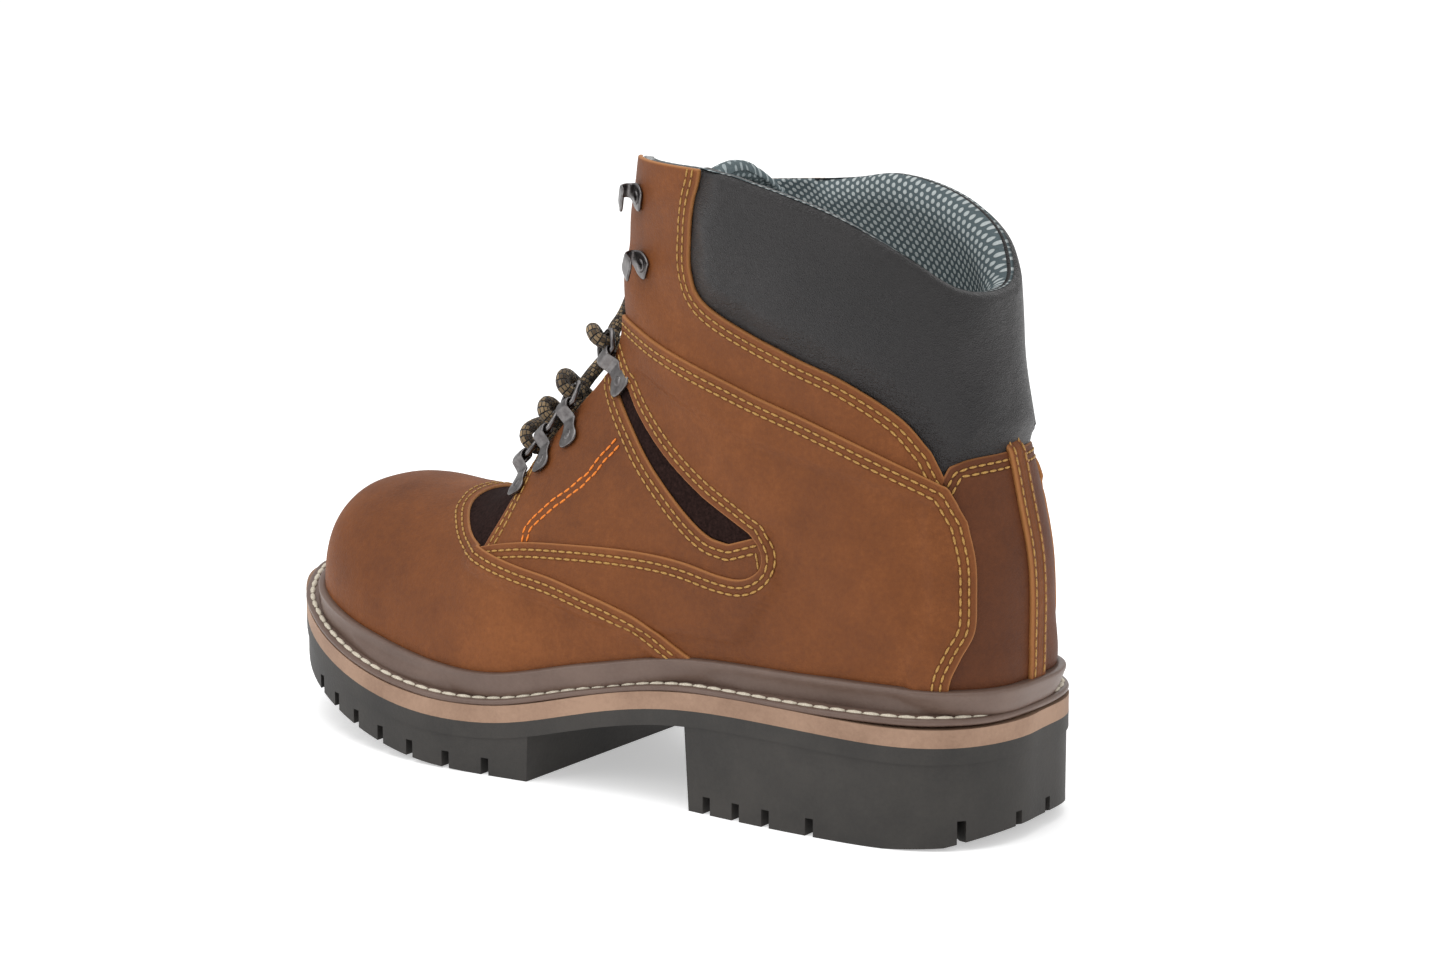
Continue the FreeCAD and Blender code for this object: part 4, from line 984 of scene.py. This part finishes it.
def tongue():
    """A padded tongue: rounded sections across a line that climbs the instep, plump in its middle."""
    rows = sprung(TONGUE_ROWS, 6)
    around = 40
    points, uv, climbed = [], [], 0.0
    for n, (x, z, y, half, curl, turn) in enumerate(rows):
        before, after = rows[max(n - 1, 0)], rows[min(n + 1, len(rows) - 1)]
        up = Vector((after[0] - before[0], 0, after[1] - before[1])).normalized()
        spin = Matrix.Rotation(math.radians(-turn), 3, "Z")
        across, out = spin @ Vector((0, 1, 0)), spin @ Vector((up.z, 0, -up.x))
        climbed += math.hypot(x - before[0], z - before[1])
        thick = TONGUE_HALF * min(1.0, 0.35 + 0.09 * min(n, len(rows) - 1 - n))
        for k in range(around):
            angle = 2 * math.pi * k / around
            c, s = math.cos(angle), math.sin(angle)
            u = half * math.copysign(abs(c) ** 0.8, c)
            quilt = 1 - 0.22 * math.exp(-(((abs(c) - 0.72) / 0.07) ** 2))
            v = thick * quilt * math.copysign(abs(s) ** 0.6, s) * (1 - 0.35 * abs(c) ** 3)
            points.append(Vector((x + HEEL_X, y, z)) + across * u + out * (v - curl * (u / half) ** 2))
            uv.append((u * MM, climbed * MM))
    faces = [(i * around + j, i * around + (j + 1) % around, (i + 1) * around + (j + 1) % around,
              (i + 1) * around + j) for i in range(len(rows) - 1) for j in range(around)]
    faces += [tuple(range(around)), tuple(range(len(points) - 1, len(points) - around - 1, -1))]
    made = piece("tongue_pad", np.array(points) * MM, faces, TONGUE_MESH, ["tongue"], uv=uv)
    face_outward(made)
    print("tongue", len(faces), "faces")


tongue()

# %% Backstay
back_strip = np.where(HEEL_FRAME[:, 0] < 50, 4.4 - np.abs(HEEL_FRAME[:, 1]), -30)
back_strip = np.minimum.reduce([back_strip, 133 - HEEL_FRAME[:, 2], OVER_WELT])
panel("backstay_strip", back_strip, back_strip, [counter_region], TAN, [], thick=1.8,
      stitches=(1.6,))

# %% [markdown]
# Stitching is hundreds of short thread humps along a line, each pulled down at its ends. Placing
# them by hand is hopeless and a texture would look printed, so the rows are traced on the panels
# at a set distance from the edge, and Geometry Nodes puts one small hump on every step.


# %% Trace a row at a set distance
def level_lines(data, triangles, column, level):
    """Chains of points where a column of the panel's data equals level."""
    above = data[:, column] > level
    mixed = triangles[(above[triangles].sum(1) % 3) != 0]
    links, where = {}, {}
    for tri in mixed:
        ends = []
        for a, b in ((tri[0], tri[1]), (tri[1], tri[2]), (tri[2], tri[0])):
            if above[a] != above[b]:
                key = (min(a, b), max(a, b))
                if key not in where:
                    t = (level - data[key[0], column]) / (data[key[1], column] - data[key[0], column])
                    where[key] = data[key[0]] * (1 - t) + data[key[1]] * t
                ends.append(key)
        links.setdefault(ends[0], []).append(ends[1])
        links.setdefault(ends[1], []).append(ends[0])
    chains, left = [], set(links)
    starts = [k for k in links if len(links[k]) == 1] + list(links)
    for start in starts:
        if start not in left:
            continue
        chain, here = [start], start
        left.discard(start)
        while True:
            onward = [k for k in links[here] if k in left]
            if not onward:
                break
            here = onward[0]
            left.discard(here)
            chain.append(here)
        if len(chain) > 12:
            chains.append(np.array([where[k] for k in chain]))
    return chains


def along_chain(chain, pitch, sink):
    """Evenly stepped places on a chain: point, direction, outward normal."""
    points = (chain[:, :3] + chain[:, 3:6] * chain[:, 15:16]) * MM
    gaps = np.linalg.norm(np.diff(points, axis=0), axis=1)
    reach = np.concatenate([[0], np.cumsum(gaps)])
    goals = np.arange(pitch * 0.6, reach[-1] - pitch * 0.4, pitch)
    at = [np.interp(goals, reach, points[:, k]) for k in range(3)]
    normal = np.stack([np.interp(goals, reach, chain[:, 3 + k]) for k in range(3)], 1)
    ahead = [np.interp(goals + pitch / 3, reach, points[:, k]) for k in range(3)]
    behind = [np.interp(goals - pitch / 3, reach, points[:, k]) for k in range(3)]
    region = np.interp(goals, reach, chain[:, 6])
    way = np.stack(ahead, 1) - np.stack(behind, 1)
    over_welt = chain[:, 2] - np.interp(chain[:, 0] - HEEL_X, welt_x, welt_z)
    kept = (region > 1.0) & (np.interp(goals, reach, over_welt) > 11.5)
    return np.stack(at, 1)[kept] + normal[kept] * sink, way[kept], normal[kept]


# %% The stitch maker
def stitch_tree():
    """Geometry Nodes: one thread hump on every point, laid along the row and square to the skin."""
    tree = bpy.data.node_groups.new("stitch_maker", "GeometryNodeTree")
    face = tree.interface
    face.new_socket("Geometry", in_out="INPUT", socket_type="NodeSocketGeometry")
    for name, value in (("Length", 0.0028), ("Width", 0.0007), ("Height", 0.0004)):
        face.new_socket(name, in_out="INPUT", socket_type="NodeSocketFloat").default_value = value
    face.new_socket("Thread", in_out="INPUT", socket_type="NodeSocketMaterial")
    face.new_socket("Geometry", in_out="OUTPUT", socket_type="NodeSocketGeometry")
    new, link = tree.nodes.new, tree.links.new
    start, end = new("NodeGroupInput"), new("NodeGroupOutput")
    hump = new("GeometryNodeMeshUVSphere")
    hump.inputs["Segments"].default_value = 7
    hump.inputs["Rings"].default_value = 4
    hump.inputs["Radius"].default_value = 0.5
    turn = new("GeometryNodeTransform")
    turn.inputs["Rotation"].default_value = (0, math.pi / 2, 0)
    size = new("ShaderNodeCombineXYZ")
    for k, name in enumerate(("Length", "Width", "Height")):
        link(start.outputs[name], size.inputs[k])
    shape = new("GeometryNodeTransform")
    link(hump.outputs["Mesh"], turn.inputs["Geometry"])
    link(turn.outputs["Geometry"], shape.inputs["Geometry"])
    link(size.outputs[0], shape.inputs["Scale"])
    aims = []
    for name, axis in (("along", "X"), ("up", "Z")):
        read = new("GeometryNodeInputNamedAttribute")
        read.data_type = "FLOAT_VECTOR"
        read.inputs["Name"].default_value = name
        aim = new("FunctionNodeAlignRotationToVector")
        aim.axis = axis
        aim.pivot_axis = "AUTO" if axis == "X" else "X"
        link(read.outputs["Attribute"], aim.inputs["Vector"])
        aims.append(aim)
    link(aims[0].outputs["Rotation"], aims[1].inputs["Rotation"])
    put = new("GeometryNodeInstanceOnPoints")
    link(start.outputs["Geometry"], put.inputs["Points"])
    link(shape.outputs["Geometry"], put.inputs["Instance"])
    link(aims[1].outputs["Rotation"], put.inputs["Rotation"])
    real, soft, paint = (new("GeometryNodeRealizeInstances"), new("GeometryNodeSetShadeSmooth"),
                         new("GeometryNodeSetMaterial"))
    link(put.outputs["Instances"], real.inputs["Geometry"])
    link(real.outputs["Geometry"], soft.inputs["Geometry"])
    link(soft.outputs["Geometry"], paint.inputs["Geometry"])
    link(start.outputs["Thread"], paint.inputs["Material"])
    link(paint.outputs["Geometry"], end.inputs["Geometry"])
    return tree


STITCH_TREE = stitch_tree()


def sew(name, places, ways, normals, thread, slot, length=0.0030, width=0.00085, height=0.0007, nodes=()):
    """Run the stitch maker over a list of places and keep the result as a plain mesh."""
    mesh = bpy.data.meshes.new(name + "_places")
    mesh.from_pydata([tuple(p) for p in places], [], [])
    for key, values in (("along", ways), ("up", normals)):
        layer = mesh.attributes.new(key, "FLOAT_VECTOR", "POINT")
        layer.data.foreach_set("vector", np.asarray(values, np.float32).ravel())
    holder = bpy.data.objects.new(name + "_places", mesh)
    bpy.context.collection.objects.link(holder)
    modifier = holder.modifiers.new("sew", "NODES")
    modifier.node_group = STITCH_TREE
    sizes = {"Length": length, "Width": width, "Height": height, "Thread": thread}
    for item in STITCH_TREE.interface.items_tree:
        if item.in_out == "INPUT" and item.name in sizes:
            modifier[item.identifier] = sizes[item.name]
    bpy.context.view_layer.update()
    sewn = bpy.data.meshes.new_from_object(holder.evaluated_get(bpy.context.evaluated_depsgraph_get()))
    bpy.data.objects.remove(holder)
    for layer in [a.name for a in sewn.attributes if a.name in ("along", "up")]:
        sewn.attributes.remove(sewn.attributes[layer])
    made = bpy.data.objects.new(name, sewn)
    bpy.context.collection.objects.link(made)
    print(name, len(places), "stitches")
    return settle(made, nodes)


# %% Sew every panel's rows
STITCH_PITCH = 0.0033
by_panel = {}
for data, tris, offset, heights, thread, name in SEAMS:
    rows = level_lines(np.column_stack([data, heights]), tris, 7, offset)
    for chain in rows:
        at, way, normal = along_chain(chain, STITCH_PITCH, 0.00004)
        if len(at):
            by_panel.setdefault(name, []).append((at, way, normal))
for name, rows in by_panel.items():
    sew(name + "_stitches", *(np.concatenate([r[k] for r in rows]) for k in range(3)), GOLD, "tan_leather")

# %% Orange rows on the ring facings
ORANGE_LINE = sprung([(145, 118), (152, 110), (157, 104), (167, 96), (174, 90), (178, 85), (178, 80)], 14)


def orange_row(side, shift):
    """Places along the orange line on one side, moved across it by shift millimetres."""
    flank = HEEL_FRAME[:, 1] * side > 6
    seen, kept = SIDE_VIEW[flank], np.flatnonzero(flank)
    way = np.gradient(ORANGE_LINE, axis=0)
    across = np.stack([-way[:, 1], way[:, 0]], 1) / np.linalg.norm(way, axis=1)[:, None]
    line = []
    for goal in ORANGE_LINE + across * shift:
        gap = np.linalg.norm(seen - goal, axis=1)
        near = np.argsort(gap)[:4]
        weight = 1 / (gap[near] + 0.3)
        weight /= weight.sum()
        n = kept[near]
        line.append(np.concatenate([(P[n] * weight[:, None]).sum(0), (N[n] * weight[:, None]).sum(0)]))
    line = np.array(line)
    line[:, :3] += line[:, 3:] * 0.1
    reach = np.concatenate([[0], np.cumsum(np.linalg.norm(np.diff(line[:, :3], axis=0), axis=1))])
    goals = np.arange(1.5, reach[-1], STITCH_PITCH / MM)
    even = np.stack([np.interp(goals, reach, line[:, k]) for k in range(6)], 1)
    return even[:, :3] * MM, np.gradient(even[:, :3], axis=0), even[:, 3:]


orange = [orange_row(side, shift) for side in (1, -1) for shift in (-1.2, 1.2)]
sew("orange_stitches", *(np.concatenate([row[k] for row in orange]) for k in range(3)), ORANGE, "tan_leather")

# %% [markdown]
# The sole's edge is what a welted boot shows off: a moulded rand hugging the leather, a welt with
# one row of thick waxed stitches, a tan midsole, and the black tread. The rand is cut on the same
# form as the leather; the welt is one section swept round the sole's outline.

# %% The sole's outline
LENGTH, BALL, HEEL = 311.0, 52.5, 45.5
OUTLINE = sprung([(0, 0)] + [(x * LENGTH, y * w) for x, y, w in (
    (0.007, 0.40, HEEL), (0.032, 0.68, HEEL), (0.080, 0.89, HEEL), (0.160, 0.985, HEEL),
    (0.275, 1.00, HEEL), (0.370, 0.97, HEEL), (0.450, 0.975, HEEL), (0.535, 0.915, BALL),
    (0.612, 0.966, BALL), (0.685, 1.00, BALL), (0.768, 0.935, BALL), (0.845, 0.785, BALL),
    (0.905, 0.585, BALL), (0.958, 0.30, BALL), (1.0, -0.19, BALL), (0.975, -0.48, BALL),
    (0.930, -0.71, BALL), (0.865, -0.885, BALL), (0.790, -0.985, BALL), (0.716, -1.0, BALL),
    (0.645, -0.98, BALL), (0.558, -0.89, BALL), (0.468, -0.84, HEEL), (0.370, -0.80, HEEL),
    (0.260, -0.95, HEEL), (0.160, -0.98, HEEL), (0.070, -0.92, HEEL), (0.026, -0.73, HEEL),
    (0.005, -0.44, HEEL))], 20, closed=True)
outline_way = np.roll(OUTLINE, -1, 0) - np.roll(OUTLINE, 1, 0)
outline_in = np.stack([-outline_way[:, 1], outline_way[:, 0]], 1)
outline_in /= np.linalg.norm(outline_in, axis=1)[:, None]
if ((OUTLINE.mean(0) - OUTLINE) * outline_in).sum() < 0:
    outline_in = -outline_in
WELT_LINE = sprung(np.array([(x * 311, z) for x, z in WELT]), 12)


def welt_height(x):
    return np.interp(x, WELT_LINE[:, 0], WELT_LINE[:, 1])


def swept(name, section, finish, nodes=()):
    """A closed section, as (inset, height over the welt line), swept round the sole."""
    rings = []
    for inset, up in section:
        flat = OUTLINE + outline_in * inset
        rings.append(np.column_stack([flat[:, 0] + HEEL_X, flat[:, 1], welt_height(flat[:, 0]) + up]))
    points = np.stack(rings, 1)
    n, m = points.shape[:2]
    faces = [(i * m + j, i * m + (j + 1) % m, (i + 1) % n * m + (j + 1) % m, (i + 1) % n * m + j)
             for i in range(n) for j in range(m)]
    made = piece(name, points.reshape(-1, 3) * MM, faces, finish, nodes)
    face_outward(made)
    print(name, len(faces), "faces")
    return made


# %% Welt, its stitches and the rand
WELT_SECTION = [(0.9, -0.2), (0.3, 0.3), (0.15, 1.0), (0.35, 1.7), (0.9, 2.1), (1.8, 2.15), (2.2, 1.9),
                (2.8, 1.9), (3.3, 2.2), (5.0, 2.5), (9.0, 3.0), (9.0, -0.2)]
swept("welt_strip", WELT_SECTION, RAND)


LEDGE = 4.6


def rand_heights(data):
    over = data[:, 14]
    up = np.clip(over / 10.0, 0, 1)
    room = outline_distance(data[:, :2] - (HEEL_X, 0), OUTLINE)[0] - LEDGE
    over_seams = 1.8 + 0.9 * smooth((34 + HEEL_X - data[:, 0]) / 10)
    flare = np.maximum(np.minimum(5.6 * (1 - up) ** 2.6 + 1.5, room), over_seams)
    bead = 0.5 * np.exp(-((over - 8.6) / 1.6) ** 2)
    top = flare + bead
    return top - quarter_circle(data[:, 6], 0.9), np.full(len(data), -1.0)


rand_over = HEEL_FRAME[:, 2] - welt_height(HEEL_FRAME[:, 0]) - 1.5
rand_region = np.minimum(9.6 - rand_over, rand_over + 3)
panel("rand_band", rand_region, rand_over, [], RAND, ["storm_rand"], stitches=(),
      shape=rand_heights, levels=(0.15, 0.4, 0.9), extra=rand_over)


def round_the_sole(inset, up, pitch):
    """Evenly stepped places on the welt: point, direction, up."""
    flat = OUTLINE + outline_in * inset
    line = np.column_stack([flat[:, 0] + HEEL_X, flat[:, 1], welt_height(flat[:, 0]) + up]) * MM
    line = np.vstack([line, line[:1]])
    reach = np.concatenate([[0], np.cumsum(np.linalg.norm(np.diff(line, axis=0), axis=1))])
    goals = np.arange(int(reach[-1] / pitch)) * (reach[-1] / int(reach[-1] / pitch))
    at = np.stack([np.interp(goals, reach, line[:, k]) for k in range(3)], 1)
    way = np.roll(at, -1, 0) - np.roll(at, 1, 0)
    return at, way, np.tile((0.0, 0.0, 1.0), (len(at), 1))


sew("welt_stitches", *round_the_sole(2.5, 2.1, 0.0060), CREAM, "rand_rubber", length=0.0064, width=0.0021,
    height=0.0016)

# %% [markdown]
# The hardware is dark plated steel: a round-wire ring held in a folded clip, and hooks pressed
# from sheet. Each ring's place and swing come from its joint in the frame, so wire and hinge
# agree. The clip is a strip bent round the ring's bar, then laid down on the leather.

# %% Where things sit on the leather
tree_of_points = KDTree(len(P))
for n in range(len(P)):
    tree_of_points.insert(P[n] * MM, n)
tree_of_points.balance()


def laid(point, height):
    """The point moved to stand at a height over the leather, along the skin's own normal."""
    total, away = Vector(), Vector()
    for _, n, distance in tree_of_points.find_n(point, 6):
        weight = 1 / (distance + 0.0004)
        normal = Vector(N[n])
        base = Vector(P[n] * MM)
        total += (point - normal * ((point - base).dot(normal) - height)) * weight
        away += Vector((weight, 0, 0))
    return total / away.x


def local_frame(origin, across, toward):
    """A matrix at origin: Y along across, X as near as it can be to toward."""
    y = Vector(across).normalized()
    x = Vector(toward)
    x = (x - y * x.dot(y)).normalized()
    z = x.cross(y)
    return Matrix((x, y, z)).transposed().to_4x4(), Vector(origin)


def placed(frame_pair, x, y, z):
    turn, origin = frame_pair
    return origin + turn @ Vector((x * MM, y * MM, z * MM))


# %% Rings
WIRE = 0.95
RING_HALF, RING_DEPTH, RING_CORNER = 4.5, 9.9, 3.4


def ring_line(half, depth, corner, count=9):
    """The ring's centre line: a straight bar, two sides and a rounded front."""
    line = [(0, -half), (0, half)]
    for cx, cy, start in ((depth - corner, half - corner, 90), (depth - corner, -half + corner, 0)):
        for k in range(count + 1):
            a = math.radians(start - 90 * k / count)
            line.append((cx + corner * math.cos(a), cy + corner * math.sin(a)))
    return line


def wire_ring(name, pair, body):
    flat = ring_line(RING_HALF, RING_DEPTH, RING_CORNER)
    line = np.array([placed(pair, x, y, 0) for x, y in flat])
    gaps = np.roll(line, -1, 0) - np.roll(line, 1, 0)
    gaps /= np.linalg.norm(gaps, axis=1)[:, None]
    normal = np.array(pair[0] @ Vector((0, 0, 1)))
    points, sides = [], 12
    for p, t in zip(line, gaps):
        side = np.cross(t, normal)
        for j in range(sides):
            a = 2 * math.pi * j / sides
            points.append(p + (side * math.cos(a) + normal * math.sin(a)) * WIRE * MM)
    n = len(line)
    faces = [(i * sides + j, i * sides + (j + 1) % sides, (i + 1) % n * sides + (j + 1) % sides,
              (i + 1) % n * sides + j) for i in range(n) for j in range(sides)]
    made = piece(name + "_wire", points, faces, METAL, [name], body=body)
    face_outward(made)
    return made


RING_FRAMES = {}
for word in ("outer", "inner"):
    for k in (1, 2, 3, 4):
        name = "lace_ring_%s_%d" % (word, k)
        joint = JOINTS[name + "_swing"]
        low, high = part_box(name)
        reach = (low + high) / 2 - Vector(joint["pos_m"])
        pair = local_frame(joint["pos_m"], joint["axis"], reach)
        if (pair[0] @ Vector((0, 0, 1))).z < 0:
            pair = local_frame(joint["pos_m"], -Vector(joint["axis"]), reach)
        RING_FRAMES[name] = pair
        wire_ring(name, pair, name)
print(len(RING_FRAMES), "rings")


# %% Clips
def strip_mesh(rows, widths, thick, across=9):
    """Points and faces of a bent strip: rows of (centre, sideways, up), closed and rounded."""
    points, faces = [], []
    for (centre, side, up), half in zip(rows, widths):
        for sign in (1, -1):
            for j in range(across):
                u = -1 + 2 * j / (across - 1)
                crown = 0.35 * (1 - abs(u) ** 6)
                points.append(centre + side * (half * u * MM) + up * (sign * thick / 2 * (0.65 + crown) * MM))
    wide = 2 * across
    for i in range(len(rows) - 1):
        a, b = i * wide, (i + 1) * wide
        for j in range(across - 1):
            faces.append((a + j, a + j + 1, b + j + 1, b + j))
            faces.append((a + across + j + 1, a + across + j, b + across + j, b + across + j + 1))
        faces.append((a + across, a, b, b + across))
        faces.append((a + across - 1, a + wide - 1, b + wide - 1, b + across - 1))
    for i, flip in ((0, False), (len(rows) - 1, True)):
        a = i * wide
        for j in range(across - 1):
            face = (a + j, a + across + j, a + across + j + 1, a + j + 1)
            faces.append(face[::-1] if flip else face)
    return points, faces


CLIP_LINE = [(-0.4, -1.55), (0.9, -1.5), (1.65, -0.6), (1.7, 0.5), (0.9, 1.55), (-0.6, 1.75), (-2.4, 1.15)]
CLIP_TAIL = [(-4.2, 3.4), (-5.6, 3.1), (-7.2, 3.0), (-8.9, 3.4), (-10.6, 4.1), (-12.2, 4.3), (-13.5, 3.9),
             (-14.5, 2.8), (-15.0, 1.2)]
CLIP_HALF, CLIP_THICK, CLIP_LIES, BIG_CLIP = 3.5, 1.15, 0.0011, 1.22


def clip(pair, big):
    """One clip: round the bar in the ring's own plane, then down on to the leather."""
    rows, widths = [], []
    side = pair[0] @ Vector((0, 1, 0))
    line = sprung(CLIP_LINE, 4)
    for k, (x, z) in enumerate(line):
        before, after = line[max(k - 1, 0)], line[min(k + 1, len(line) - 1)]
        way = pair[0] @ Vector((after[0] - before[0], 0, after[1] - before[1]))
        rows.append((placed(pair, x, 0, z), side, way.cross(side).normalized()))
        widths.append(CLIP_HALF)
    for x, half in sprung(CLIP_TAIL, 3):
        grow = BIG_CLIP if big and x < -8 else 1.0
        flat = laid(placed(pair, x, 0, -2), CLIP_LIES)
        beside = laid(placed(pair, x, 2, -2), CLIP_LIES)
        lean = (beside - flat).normalized()
        ahead = (laid(placed(pair, x + 1, 0, -2), CLIP_LIES) - flat).normalized()
        up = ahead.cross(lean).normalized()
        rows.append((flat, lean, -up if up.dot(pair[0] @ Vector((0, 0, 1))) < 0 else up))
        widths.append(half * grow)
    return strip_mesh(rows, widths, CLIP_THICK)


def joined(name, parts, finish, nodes, subdivide=1):
    points, faces = [], []
    for more_points, more_faces in parts:
        faces += [tuple(v + len(points) for v in f) for f in more_faces]
        points += list(more_points)
    made = piece(name, points, faces, finish, nodes)
    face_outward(made)
    if subdivide:
        modifier = made.modifiers.new("round", "SUBSURF")
        modifier.levels = modifier.render_levels = subdivide
    return made


def dome(centre, up, radius, height, rings=5, around=16):
    """A rivet's head: a low dome with a rolled skirt."""
    side = up.orthogonal().normalized()
    other = up.cross(side)
    points, faces = [centre + up * height], []
    for i in range(1, rings + 1):
        a = math.pi / 2 * i / rings
        for j in range(around):
            b = 2 * math.pi * j / around
            points.append(centre + (side * math.cos(b) + other * math.sin(b)) * (radius * math.sin(a))
                          + up * (height * math.cos(a)))
    for j in range(around):
        faces.append((0, 1 + j, 1 + (j + 1) % around))
    for i in range(rings - 1):
        a, b = 1 + i * around, 1 + (i + 1) * around
        faces += [(a + j, b + j, b + (j + 1) % around, a + (j + 1) % around) for j in range(around)]
    last = 1 + (rings - 1) * around
    faces.append(tuple(last + j for j in reversed(range(around))))
    return points, faces


for word in ("outer", "inner"):
    clips, heads = [], []
    for k in (1, 2, 3, 4):
        pair = RING_FRAMES["lace_ring_%s_%d" % (word, k)]
        clips.append(clip(pair, k == 4))
        spot = laid(placed(pair, -10.4, 0, -2), 0.0015)
        up = (spot - laid(spot, 0.0)).normalized()
        heads.append(dome(spot, up, 0.0019, 0.0006))
    joined("clips_" + word, clips, METAL, ["ring_clips_" + word])
    joined("clip_rivet_heads_" + word, heads, METAL, ["clip_rivets_" + word], 0)
print("clips on both sides")


# %% Speed hooks
HOOKS = ((14.2, 27), (16.0, 27))
HOOK_LINE = [(-3.6, 0.9), (-1.5, 0.9), (1.5, 0.9), (3.6, 1.0), (4.9, 1.7), (5.3, 3.2), (4.6, 4.9), (3.0, 5.9),
             (0.6, 6.3), (-2.0, 6.7), (-4.0, 7.6)]
HOOK_HALF = [3.4, 4.3, 4.4, 3.6, 2.8, 2.6, 2.7, 3.2, 3.9, 4.0, 2.9]


def wall_point(place, reach, side):
    path = half_rings([place], side, 240)[0]
    n = int(np.argmax(np.abs(path[:, 1]) >= reach))
    return Vector(path[n]) + Vector((HEEL_X, 0, 0))


def seat(place, reach, side):
    """A frame on the upper: X towards the throat, Z out of the leather."""
    point = wall_point(place, reach, side)
    to_throat = wall_point(place, reach - 3, side) - wall_point(place, reach + 3, side)
    up_line = wall_point(place + 0.3, reach, side) - wall_point(place - 0.3, reach, side)
    x = to_throat.normalized()
    z = up_line.cross(to_throat) * side
    z = (z - x * z.dot(x)).normalized()
    y = z.cross(x)
    return Matrix((x, y, z)).transposed().to_4x4(), point * MM


for side, word in ((1, "outer"), (-1, "inner")):
    hooks, heads = [], []
    for place, reach in HOOKS:
        pair = seat(place, reach, side)
        across = pair[0] @ Vector((0, 1, 0))
        line = sprung(np.column_stack([HOOK_LINE, HOOK_HALF]), 3)
        rows = []
        for k, (x, z, half) in enumerate(line):
            before, after = line[max(k - 1, 0)], line[min(k + 1, len(line) - 1)]
            way = pair[0] @ Vector((after[0] - before[0], 0, after[1] - before[1]))
            rows.append((placed(pair, x, 0, z), across, way.cross(across).normalized()))
        hooks.append(strip_mesh(rows, line[:, 2], 1.1))
        spot = placed(pair, 0, 0, 1.4)
        heads.append(dome(spot, pair[0] @ Vector((0, 0, 1)), 0.0024, 0.0009))
    joined("hooks_" + word, hooks, METAL, ["lace_hooks_" + word])
    joined("hook_rivet_heads_" + word, heads, METAL, ["hook_rivets_" + word], 0)
print("hooks on both sides")
